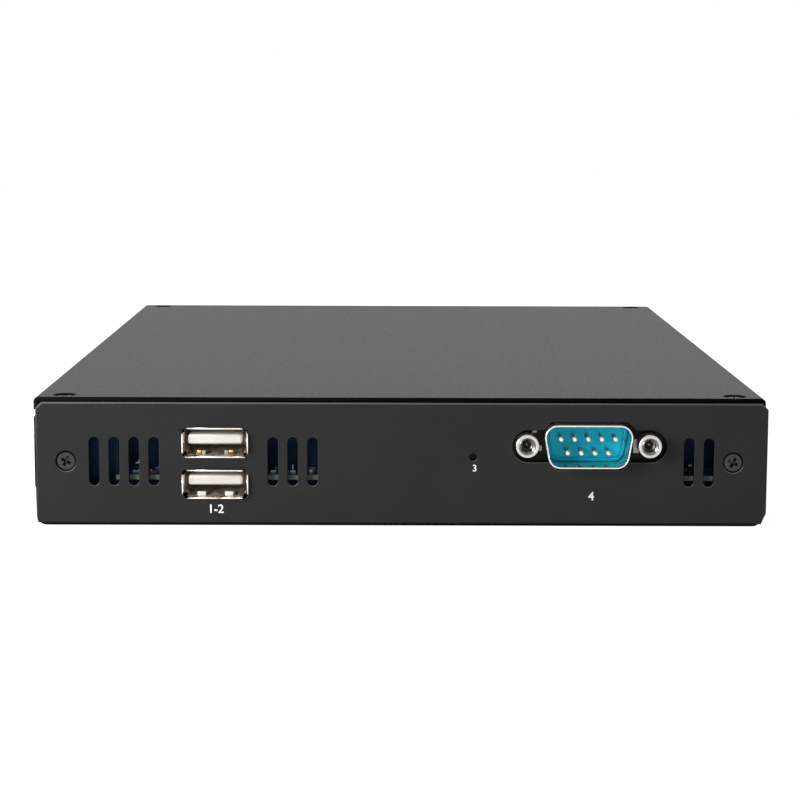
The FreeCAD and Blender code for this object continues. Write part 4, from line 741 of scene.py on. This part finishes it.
# nine-pin port: drawn shell with a rolled rim, teal insulator, pins and jackscrews
serial = {
    "width": 18.95, "height": 8.96, "corner": 2.6, "slope": 10.0, "steps": 8, "wall": 0.34, "deep": 5.9,
    # inset and depth round the edge
    "rim": ((0.0, 0.22), (0.03, 0.09), (0.1, 0.02), (0.19, 0.0), (0.27, 0.03)),
    "rootDeep": 0.9, "flange": (32.2, 12.5, 0.5), "flangeGap": 0.02,
    "face": 7.2, "faceGap": 0.03, "faceEdge": 0.06, "faceDeep": 0.4,
    "grooveInset": 1.28, "grooveDeep": 0.3, "grooveLow": 0.06, "grooveHigh": 0.09,
    "tabDeep": 0.35,
    # bent tabs of the shell's root: across from and to, low and high, about the port's middle
    "tabs": ((-11.295, -10.245, 2.1, 3.0), (-9.795, -9.195, -1.7, -0.5), (9.545, 10.845, -2.1, 0.9)),
    "pinRadius": 0.41, "pinTip": 1.7, "pinPitch": 2.77, "pinRows": 2.84, "pinBack": 0.6,
    "noseLong": 0.5, "noseBend": 0.7, "noseSteps": 6.6,
    "jackSpacing": 24.99, "jackRise": 0.12, "outer": 2.40, "sink": 1.78, "bore": 1.15, "shank": 1.4,
    # round a jackscrew's head: inset and depth at its edge, outset and depth at its mouth, then its well
    "jackEdge": ((0.0, 0.30), (0.05, 0.12), (0.16, 0.02), (0.28, 0.0)),
    "jackMouth": ((0.08, 0.0), (0.0, 0.05), (0.0, 0.6)),
    "jackWell": ((1.5, 0.9), (1.5, 6.0), (1.0, 6.0)),
    # the thread's pitch, crest and run, its mouth (inset and depth) and its closed end
    "thread": 0.635, "threadDeep": 0.24, "threadFrom": 0.35, "threadLong": 2.0,
    "threadMouth": ((0.01, 0.6), (0.01, 0.08), (0.13, 0.12), (0.22, 0.06)),
    "threadEnd": ((0.9, 2.5), (0.4, 2.2), (0.02, 2.1), (0.02, 2.9), (1.45, 2.9), (1.45, 0.6)),
}


def shellOutline(inset):
    slope = math.radians(serial["slope"])
    full, radius = serial["corner"], serial["corner"] - inset
    inward = full / math.cos(slope)
    half, tall = serial["width"] / 2, serial["height"]
    top = half - full * math.tan(slope) - inward
    low = half - (tall - full) * math.tan(slope) - inward
    level = tall / 2 - full
    right = []
    for centre, z, start, end in ((low, -level, -math.pi / 2, -slope), (top, level, -slope, math.pi / 2)):
        for n in range(serial["steps"] + 1):
            angle = start + (end - start) * n / serial["steps"]
            right.append((centre + radius * math.cos(angle), z + radius * math.sin(angle)))
    return right + [(-x, z) for x, z in reversed(right)]


def makeSerialPort():
    low, middle = middleOf("serial_shell")[::2]
    rim, x0, z0 = low.y, middle.x, middle.z

    def loop(inset, deep):
        return [(x0 + x, rim + deep, z0 + z) for x, z in shellOutline(inset)]

    wall, deep, root = serial["wall"], serial["deep"], serial["deep"] + serial["rootDeep"]
    shell = bmesh.new()
    addLoops(shell, [loop(inset, depth) for inset, depth in (
        *serial["rim"], (wall, 0.14), (wall, root), (0.0, root))], around=True)
    faceOutwards(shell)
    finishPiece("serialShell", shell, "nickelPlate", "nickel_plate", ["serial_shell"], sharp=60)

    # a near-black plate behind the panel, between the shell's root and the jackscrews, that keeps the gap
    # round the shell dark
    front = bmesh.new()
    long, tall, thick = serial["flange"]
    body = [(x, z) for x, z in shellOutline(-0.05)]
    outer = []
    for x, z in body:
        scale = min(long / 2 / abs(x) if abs(x) > 1e-6 else 1e9, tall / 2 / abs(z) if abs(z) > 1e-6 else 1e9)
        outer.append((x * scale, z * scale))
    near, far = deep + serial["flangeGap"], deep + thick
    rows = [[(x0 + x, rim + y, z0 + z) for x, z in line]
            for line, y in ((body, near), (outer, near), (outer, far), (body, far))]
    addLoops(front, rows, around=True)
    faceOutwards(front)
    finishPiece("serialFront", front, "mouldedBlackNylon", "black_plastic")

    tabs = bmesh.new()
    for left, right, bottom, top in serial["tabs"]:
        addBox(tabs, (x0 + left, rim + deep - serial["tabDeep"], z0 + bottom),
               (x0 + right, rim + deep, z0 + top))
    faceOutwards(tabs)
    finishPiece("serialTabs", tabs, "oiledAndShadedThread", "nickel_plate", bevel=0.1)

    insulator = bmesh.new()
    face, groove, floor = serial["face"], serial["grooveInset"], serial["face"] + serial["grooveDeep"]
    inner, edge, back = wall + serial["faceGap"], serial["faceEdge"], face + serial["faceDeep"]
    lowHalf, highHalf = serial["grooveLow"], serial["grooveHigh"]
    addLoops(insulator, [loop(inset, depth) for inset, depth in (
        (inner, back), (inner, face + edge), (inner + edge, face), (groove - highHalf, face),
        (groove - lowHalf, floor), (groove + lowHalf, floor), (groove + highHalf, face))], caps=True)
    start, end = middleOf("serial_insulator")[:2]
    addBox(insulator, (start.x + 0.1, rim + back, start.z), (end.x - 0.1, end.y, end.z))
    faceOutwards(insulator)
    finishPiece("serialInsulator", insulator, "mouldedTealNylon", "teal_plastic", ["serial_insulator"],
                sharp=50)
    return rim, x0, z0


serialRim, serialX, serialZ = makeSerialPort()


# a tree that sets out copies of one part begins with its inputs and ends with real copies in one finish
def startTree(title, inputs):
    tree = bpy.data.node_groups.new(title, "GeometryNodeTree")
    for name, kind in (("Part", "Object"), *inputs, ("Finish", "Material")):
        tree.interface.new_socket(name, in_out="INPUT", socket_type=f"NodeSocket{kind}")
    tree.interface.new_socket("Geometry", in_out="OUTPUT", socket_type="NodeSocketGeometry")
    given = addNode(tree, "NodeGroupInput").outputs
    return tree, given, addNode(tree, "GeometryNodeObjectInfo", {"Object": given["Part"]})


def endTree(tree, given, copies):
    real = addNode(tree, "GeometryNodeRealizeInstances", {0: copies.outputs[0]})
    done = addNode(tree, "GeometryNodeSetMaterial",
                   {"Geometry": real.outputs[0], "Material": given["Finish"]})
    addNode(tree, "NodeGroupOutput", {0: done.outputs[0]})
    return tree


# parts set out in rows: the tree takes one part, its first place, two steps and two counts
def makeRowTree():
    tree, given, part = startTree("partsInRows", (
        ("First", "Vector"), ("Step", "Vector"), ("Count", "Int"), ("Row Step", "Vector"), ("Rows", "Int")))
    along = addNode(tree, "GeometryNodeMeshLine", {"Count": given["Count"], "Start Location": given["First"],
                                                   "Offset": given["Step"]})
    row = addNode(tree, "GeometryNodeInstanceOnPoints", {"Points": along.outputs[0],
                                                         "Instance": part.outputs["Geometry"]})
    across = addNode(tree, "GeometryNodeMeshLine", {"Count": given["Rows"], "Offset": given["Row Step"]})
    field = addNode(tree, "GeometryNodeInstanceOnPoints",
                    {"Points": across.outputs[0], "Instance": row.outputs[0]})
    return endTree(tree, given, field)


# runs a tree on an empty object and keeps what it made as a plain mesh
def growMesh(name, tree, settings):
    holder = stand(name, bpy.data.meshes.new(name))
    modifier = holder.modifiers.new(name, "NODES")
    modifier.node_group = tree
    for item in tree.interface.items_tree:
        if item.item_type == "SOCKET" and item.in_out == "INPUT":
            modifier[item.identifier] = settings[item.name]
    graph = bpy.context.evaluated_depsgraph_get()
    mesh = bpy.data.meshes.new_from_object(holder.evaluated_get(graph), depsgraph=graph)
    bpy.data.objects.remove(holder)
    return mesh


rowTree = makeRowTree()


def setInRows(name, shape, finish, fields):
    faceOutwards(shape)
    mesh = meshFrom(name, shape)
    part = stand(name + "Part", mesh)
    joined = bmesh.new()
    for first, step, count, rowStep, rows in fields:
        grown = growMesh(name, rowTree, {
            "Part": part, "First": Vector(first) * mm, "Step": Vector(step) * mm, "Count": count,
            "Row Step": Vector(rowStep) * mm, "Rows": rows, "Finish": materials[finish]})
        joined.from_mesh(grown)
        bpy.data.meshes.remove(grown)
    bpy.data.objects.remove(part)
    bpy.data.meshes.remove(mesh)
    return meshFrom(name, joined, 1.0)


def makePins():
    radius, length, tip = serial["pinRadius"], serial["face"] - serial["pinBack"], serial["pinTip"]
    pitch, half = serial["pinPitch"], serial["pinRows"] / 2
    front = serialRim + serial["pinBack"]
    rows = [((serialX - 2 * pitch, front, serialZ + half), (pitch, 0, 0), 5, (0, 0, 0), 1),
            ((serialX - 1.5 * pitch, front, serialZ - half), (pitch, 0, 0), 4, (0, 0, 0), 1)]
    bend, long, steps = serial["noseBend"], serial["noseLong"], serial["noseSteps"]
    nose = [(radius * math.cos(angle) ** bend, long * (1 - math.sin(angle)))
            for angle in (math.pi / 2 * n / steps for n in range(7))]
    for name, finish, loops, nodes in (
            ("serialPinTips", "brightTinTip", [(0.1, tip), (radius, tip)] + nose, ["serial_pins"]),
            ("serialPinShafts", "tinnedPin", [(radius - 0.03, length), (radius - 0.03, tip - 0.05)], [])):
        shape = bmesh.new()
        addLoops(shape, [ringOf(reach, 20, 0, deep, 0) for reach, deep in loops], caps=True)
        mesh = setInRows(name, shape, finish, rows)
        dressMesh(name, mesh, finish, "gold_plate", nodes, sharp=60)


makePins()


def makeJackscrews():
    low, high, middle = middleOf("serial_jackscrews")
    face, base, count = low.y, serialRim + serial["deep"], 48
    outer, sink, bore, crest = (serial[key] for key in ("outer", "sink", "bore", "threadDeep"))
    shank, spacing = serial["shank"], serial["jackSpacing"]
    places = [((middle.x - spacing / 2, face, middle.z + serial["jackRise"]), (spacing, 0, 0), 2,
               (0, 0, 0), 1)]

    body = bmesh.new()
    loops = [(shank, high.y - face), (shank, base - face + 0.3), (outer, base - face)]
    loops += [(outer - inset, deep) for inset, deep in serial["jackEdge"]]
    loops += [(sink + outset, deep) for outset, deep in serial["jackMouth"]] + [*serial["jackWell"]]
    addLoops(body, [ringOf(radius, count, 0, deep, 0) for radius, deep in loops], caps=True)
    mesh = setInRows("serialJackscrews", body, "turnedNickel", places)
    dressMesh("serialJackscrews", mesh, "turnedNickel", "nickel_plate", ["serial_jackscrews"], sharp=40)

    # a helical thread: its depth turns with the angle round the bore
    def threadRing(deep):
        def reach(angle):
            turn = (deep / serial["thread"] + angle / (2 * math.pi)) % 1.0
            return bore + crest * abs(2 * turn - 1)
        return ringOf(reach, count, 0, deep, 0)

    steps = 24
    thread = bmesh.new()
    mouth = [ringOf(sink - inset, count, 0, deep, 0) for inset, deep in serial["threadMouth"]]
    turns = [threadRing(serial["threadFrom"] + serial["threadLong"] * n / steps) for n in range(steps + 1)]
    end = [ringOf(radius, count, 0, deep, 0) for radius, deep in serial["threadEnd"]]
    addLoops(thread, mouth + turns + end, around=True)
    mesh = setInRows("serialThreads", thread, "oiledAndShadedThread", places)
    dressMesh("serialThreads", mesh, "oiledAndShadedThread", "nickel_plate", sharp=40)


makeJackscrews()
print("nine-pin port made")


# sheet panels: the folded sheet as built, with the coat's soft edge round every hole
panel = {
    "edge": 0.14, "windowCorner": 1.05, "windowReach": 0.6,
    # the lower left corner: how far it reaches across and up, where it divides, and what each part moves by
    "cornerReach": (1.7, 2.6), "cornerSplit": 0.65, "cornerDown": 1.5, "cornerOut": 0.8,
}


def softenPanel(node, facing, name):
    shape = bmesh.new()
    shape.from_mesh(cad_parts[node].data)
    shape.transform(Matrix.Scale(1 / mm, 4))
    bmesh.ops.remove_doubles(shape, verts=shape.verts, dist=1e-4)
    bmesh.ops.dissolve_limit(shape, angle_limit=math.radians(0.5), verts=shape.verts, edges=shape.edges)
    low, high = middleOf(node)[:2]
    face = low.y if facing < 0 else high.y
    if facing < 0:  # the front panel's lower left corner is clipped less
        across, up = panel["cornerReach"]
        for vert in shape.verts:
            if vert.co.x < low.x + across and vert.co.z < low.z + up:
                if vert.co.x < low.x + panel["cornerSplit"]:
                    vert.co.z -= panel["cornerDown"]
                else:
                    vert.co.x -= panel["cornerOut"]
    # the ports' windows have round corners
    start, end = middleOf(node.replace("panel", "port_shell"))[:2]
    reach = panel["windowReach"]
    corners = [edge for edge in shape.edges if edge.verts[0].co.xz == edge.verts[1].co.xz
               and all(start[k] - reach < edge.verts[0].co[k] < end[k] + reach for k in (0, 2))]
    bmesh.ops.bevel(shape, geom=corners, offset=panel["windowCorner"], segments=6, profile=0.5,
                    affect="EDGES")
    rims = [edge for edge in shape.edges if len(edge.link_faces) == 2
            and all(abs(vert.co.y - face) < 1e-3 for vert in edge.verts)
            and edge.calc_face_angle() > math.radians(30)]
    bmesh.ops.bevel(shape, geom=rims, offset=panel["edge"], segments=3, profile=0.5, affect="EDGES",
                    clamp_overlap=False)
    sheet = finishPiece(name, shape, "blackPowderPanel", "black_powder_coat", [node], sharp=40)
    for face in sheet.data.polygons:
        face.use_smooth = abs(face.normal.y) < 0.999


softenPanel("front_panel", -1, "frontPanelSheet")
softenPanel("rear_panel", 1, "rearPanelSheet")
print("panels softened")


# cross-head screws in the panels and the lid
screw = {
    "panelRadius": 1.95, "panelSunk": 0.4, "panelSide": 68.4, "lidRadius": 2.02, "lidSunk": 0.42,
    "lidSide": 69.05, "lidFront": -94.45, "lidRear": 96.35, "shank": 1.2, "long": 3.0, "tip": 0.2,
    "neck": 1.0, "edge": ((0.1, 0.92), (0.0, 0.8), (0.0, 0.22), (0.03, 0.1), (0.1, 0.03), (0.2, 0.0)),
    "cross": ((-0.6, 1.25, 0.34), (0.0, 1.08, 0.31), (1.25, 0.7, 0.16)),  # depth, half length, half width
    "crossTurn": -27.0, "lidDome": 0.26, "domeAt": (0.7, 0.5, 0.3, 0.1, 0.02),
}


# a head that faces the front, with its top at the origin: a turned blank less a tapered cross
def makeScrew(radius, dome):
    blank = bmesh.new()
    profile = [(screw["tip"], screw["long"]), (screw["shank"], screw["long"]),
               (screw["shank"], screw["neck"])]
    profile += [(radius - inset, deep) for inset, deep in screw["edge"]]
    profile += [(radius * share, -dome * (1 - share * share)) for share in screw["domeAt"]]
    addLoops(blank, [ringOf(r, 40, 0, deep, 0) for r, deep in profile], caps=True)
    faceOutwards(blank)
    cutter = bmesh.new()
    loops = []
    for deep, half, wide in screw["cross"]:
        corner = [(half, -wide), (half, wide), (wide, wide)]
        turn = math.radians(screw["crossTurn"])
        loop = []
        for quarter in range(4):
            angle = turn + quarter * math.pi / 2
            loop += [(x * math.cos(angle) - z * math.sin(angle), deep,
                      x * math.sin(angle) + z * math.cos(angle)) for x, z in corner]
        loops.append(loop)
    addLoops(cutter, loops, caps=True)
    faceOutwards(cutter)
    parts = []
    for shape in (blank, cutter):
        parts.append(stand("screwPart", meshFrom("screwPart", shape, 1.0)))
    cut = parts[0].modifiers.new("cross", "BOOLEAN")
    cut.object = parts[1]
    cut.solver = "EXACT"
    graph = bpy.context.evaluated_depsgraph_get()
    made = bpy.data.meshes.new_from_object(parts[0].evaluated_get(graph), depsgraph=graph)
    head = bmesh.new()
    head.from_mesh(made)
    for part in parts:
        bpy.data.objects.remove(part)
    bpy.data.meshes.remove(made)
    return head


def makeScrews():
    whole = bmesh.new()
    side = 2 * screw["panelSide"]
    for node, facing in (("front_panel", -1), ("rear_panel", 1)):
        low, high = middleOf(node)[:2]
        head = makeScrew(screw["panelRadius"], 0.0)
        if facing > 0:
            head.transform(Matrix.Rotation(math.pi, 4, "Z"))
        top = low.y + screw["panelSunk"] if facing < 0 else high.y - screw["panelSunk"]
        level = middleOf("panel_screws")[2].z
        mesh = setInRows("panelScrews", head, "blackZincScrew",
                         [((-side / 2, top, level), (side, 0, 0), 2, (0, 0, 0), 1)])
        whole.from_mesh(mesh)
        bpy.data.meshes.remove(mesh)
    mesh = meshFrom("panelScrews", whole, 1.0)
    dressMesh("panelScrews", mesh, "blackZincScrew", "blackened_steel", ["panel_screws"], sharp=40)

    head = makeScrew(screw["lidRadius"], screw["lidDome"])
    head.transform(Matrix.Rotation(-math.pi / 2, 4, "X"))
    first = (-screw["lidSide"], screw["lidFront"], middleOf("top_cover")[1].z - screw["lidSunk"])
    mesh = setInRows("lidScrews", head, "blackZincScrew", [
        (first, (2 * screw["lidSide"], 0, 0), 2, (0, screw["lidRear"] - screw["lidFront"], 0), 2)])
    dressMesh("lidScrews", mesh, "blackZincScrew", "blackened_steel", ["cover_screws"], sharp=40)


makeScrews()
print("screws cut")


# navy sheets that paint the shade behind the slots, standing on the tray and on the board
shadeSheets = {
    "thick": 0.2,
    # left, right, low, high, depth from the front panel's inner face
    "sheets": [
        (-73.8, -61.4, 0.9, 25.7, 4.0), (-61.4, -58.5, 0.9, 25.7, 5.5),
        (-58.5, -46.0, 10.5, 25.7, 11.5), (-58.5, -46.0, 0.9, 9.3, 2.2),
        (-30.0, -14.0, 10.5, 25.7, 9.6), (-30.0, -14.0, 0.9, 9.3, 2.2),
        (55.0, 71.4, 10.5, 25.7, 9.0), (55.0, 71.4, 0.9, 9.3, 2.2),
    ],
}


def makeShadeSheets():
    inner = middleOf("front_panel")[1].y
    shape = bmesh.new()
    for left, right, low, high, deep in shadeSheets["sheets"]:
        addBox(shape, (left, inner + deep, low), (right, inner + deep + shadeSheets["thick"], high))
    faceOutwards(shape)
    finishPiece("innerFilms", shape, "navyShadeSheet", "package_plastic")


makeShadeSheets()
print("films stood up")


# small parts along the board's front edge: the tree strews one part between two ends,
# with jitter and quarter turns
def makeStrewTree():
    tree, given, part = startTree("partsStrewn", (
        ("Start", "Vector"), ("End", "Vector"), ("Count", "Int"), ("Jitter", "Vector"), ("Smallest", "Float"),
        ("Seed", "Int")))
    span = addNode(tree, "GeometryNodeMeshLine", {"Count": given["Count"], "Start Location": given["Start"],
                                                  "Offset": given["End"]}, mode="END_POINTS")
    back = addNode(tree, "ShaderNodeVectorMath", {0: given["Jitter"], "Scale": -1.0}, operation="SCALE")
    nudge = addNode(tree, "FunctionNodeRandomValue", {"Min": back.outputs[0], "Max": given["Jitter"],
                                                      "Seed": given["Seed"]}, data_type="FLOAT_VECTOR")
    moved = addNode(tree, "GeometryNodeSetPosition",
                    {"Geometry": span.outputs[0], "Offset": nudge.outputs[0]})
    quarter = addNode(tree, "FunctionNodeRandomValue", {4: 0, 5: 3, "Seed": given["Seed"]}, data_type="INT")
    turn = addNode(tree, "ShaderNodeMath", {0: quarter.outputs[2], 1: math.pi / 2}, operation="MULTIPLY")
    heading = addNode(tree, "ShaderNodeCombineXYZ", {"Z": turn.outputs[0]})
    grow = addNode(tree, "FunctionNodeRandomValue", {2: given["Smallest"], 3: 1.0, "Seed": given["Seed"]},
                   data_type="FLOAT")
    strewn = addNode(tree, "GeometryNodeInstanceOnPoints", {
        "Points": moved.outputs[0], "Instance": part.outputs["Geometry"], "Rotation": heading.outputs[0],
        "Scale": grow.outputs[1]})
    return endTree(tree, given, strewn)


strewTree = makeStrewTree()
chip = {
    # finish: half size and lift of its blocks, in millimetres, for one capacitor and one resistor
    "capacitor": {"ceramicBody": [((0.36, 0.28, 0.26), 0.0)],
                  "tinTerminal": [((0.12, 0.30, 0.28), 0.46), ((0.12, 0.30, 0.28), -0.46)]},
    "resistor": {"glazedResistor": [((0.42, 0.30, 0.15), 0.0)],
                 "tinTerminal": [((0.11, 0.31, 0.17), 0.53), ((0.11, 0.31, 0.17), -0.53)]},
}
strew = {"jitter": (0.7, 0.5, 0.0), "smallest": 0.7}
strews = [
    # kind, start, end (across and deep), count, seed
    ("capacitor", (-54.0, -93.6), (-48.6, -93.6), 3, 3), ("resistor", (-56.8, -90.2), (-47.2, -90.2), 4, 8),
    ("resistor", (-28.0, -93.8), (-15.4, -93.8), 6, 5), ("capacitor", (-28.6, -90.4), (-15.0, -90.4), 5, 21),
    ("capacitor", (57.0, -93.4), (68.6, -93.4), 3, 4), ("resistor", (56.6, -90.0), (69.0, -90.0), 4, 15),
]


# finish and two corners, with height above the board: a choke with a white block on it that paints a glint,
# an amber chip, fuses, plugs, links and their solder pads
singles = [
    ("mouldedBlackNylon", (59.9, -94.3, 0.0), (60.6, -93.6, 1.5)),
    # painted highlight: a white block on the choke standing for a glint
    ("screenedWhiteInk", (59.98, -94.35, 1.45), (60.52, -93.6, 1.9)),
    ("amberEpoxy", (60.0, -94.6, 0.0), (60.5, -94.35, 0.45)),
    ("amberEpoxy", (-51.4, -94.4, 0.0), (-50.3, -94.1, 0.22)),
    ("tinTerminal", (-55.3, -94.2, 0.0), (-53.9, -94.0, 0.3)),
    ("mouldedBlackNylon", (-54.9, -92.7, 0.0), (-54.0, -92.0, 1.5)),
    ("tinTerminal", (-54.9, -92.75, 1.5), (-54.0, -92.0, 1.8)),
    ("tinTerminal", (-54.25, -92.8, 1.8), (-54.05, -92.6, 2.3)),
    ("tinTerminal", (-26.8, -94.2, 0.0), (-25.6, -94.0, 0.4)),
    ("tinTerminal", (-22.7, -94.3, 0.0), (-21.5, -94.1, 0.35)),
    ("tinTerminal", (-22.25, -93.6, 0.0), (-22.05, -93.4, 1.5)),
    ("ceramicBody", (-18.9, -94.0, 0.0), (-17.5, -93.4, 1.0)),
    ("tinTerminal", (-18.7, -94.4, 0.0), (-18.0, -94.2, 0.5)),
]


def strewParts():
    top = middleOf("motherboard")[1].z
    grown = {}
    for kind, start, end, count, seed in strews:
        for finish, blocks in chip[kind].items():
            shape = bmesh.new()
            for (x, y, z), shift in blocks:
                addBox(shape, (shift - x, -y, 0.0), (shift + x, y, 2 * z))
            part = stand("chipPart", meshFrom("chipPart", shape))
            made = growMesh("chipPart", strewTree, {
                "Part": part, "Start": Vector((*start, top)) * mm, "End": Vector((*end, top)) * mm,
                "Count": count, "Jitter": Vector(strew["jitter"]) * mm, "Smallest": strew["smallest"],
                "Seed": seed, "Finish": materials[finish]})
            grown.setdefault(finish, bmesh.new()).from_mesh(made)
            bpy.data.objects.remove(part)
            bpy.data.meshes.remove(made)
    for finish, low, high in singles:
        shape = bmesh.new()
        addBox(shape, *[(x, y, top + z) for x, y, z in (low, high)])
        mesh = meshFrom("single", shape)
        grown.setdefault(finish, bmesh.new()).from_mesh(mesh)
        bpy.data.meshes.remove(mesh)
    for number, (finish, shape) in enumerate(sorted(grown.items())):
        mesh = meshFrom(finish + "s", shape, 1.0)
        dressMesh(finish + "s", mesh, finish, "package_plastic", ["edge_parts"] if number == 0 else [],
                  bevel=0.05)


strewParts()
print("small parts strewn")


# numerals beside the ports, screened on the panel
marks = {
    "spread": 0.012, "thick": 0.008,  # shares of the cap height
    # numeral: middle across, lower edge, cap height, in millimetres
    "numerals": {"1-2": (-37.75, 2.76, 1.8), "3": (15.35, 11.55, 1.42), "4": (39.35, 5.60, 1.76)},
}


def makeMarks():
    face = middleOf("front_panel")[0].y
    whole = bmesh.new()
    for words, (x, z, tall) in marks["numerals"].items():
        text = bpy.data.curves.new("mark", "FONT")
        text.body = words
        text.align_x = "CENTER"
        text.offset = marks["spread"]
        text.extrude = marks["thick"]
        holder = stand("mark", text)
        graph = bpy.context.evaluated_depsgraph_get()
        mesh = bpy.data.meshes.new_from_object(holder.evaluated_get(graph), depsgraph=graph)
        heights = [vertex.co.y for vertex in mesh.vertices]
        grow = tall / (max(heights) - min(heights))
        mesh.transform(Matrix.Translation((x, face - marks["thick"] * grow, z))
                       @ Matrix.Rotation(math.pi / 2, 4, "X") @ Matrix.Scale(grow, 4)
                       @ Matrix.Translation((0, -min(heights), 0)))
        whole.from_mesh(mesh)
        bpy.data.objects.remove(holder)
        bpy.data.curves.remove(text)
        bpy.data.meshes.remove(mesh)
    finishPiece("portNumerals", whole, "screenedWhiteInk", "white_plastic")


makeMarks()
print("numerals screened")
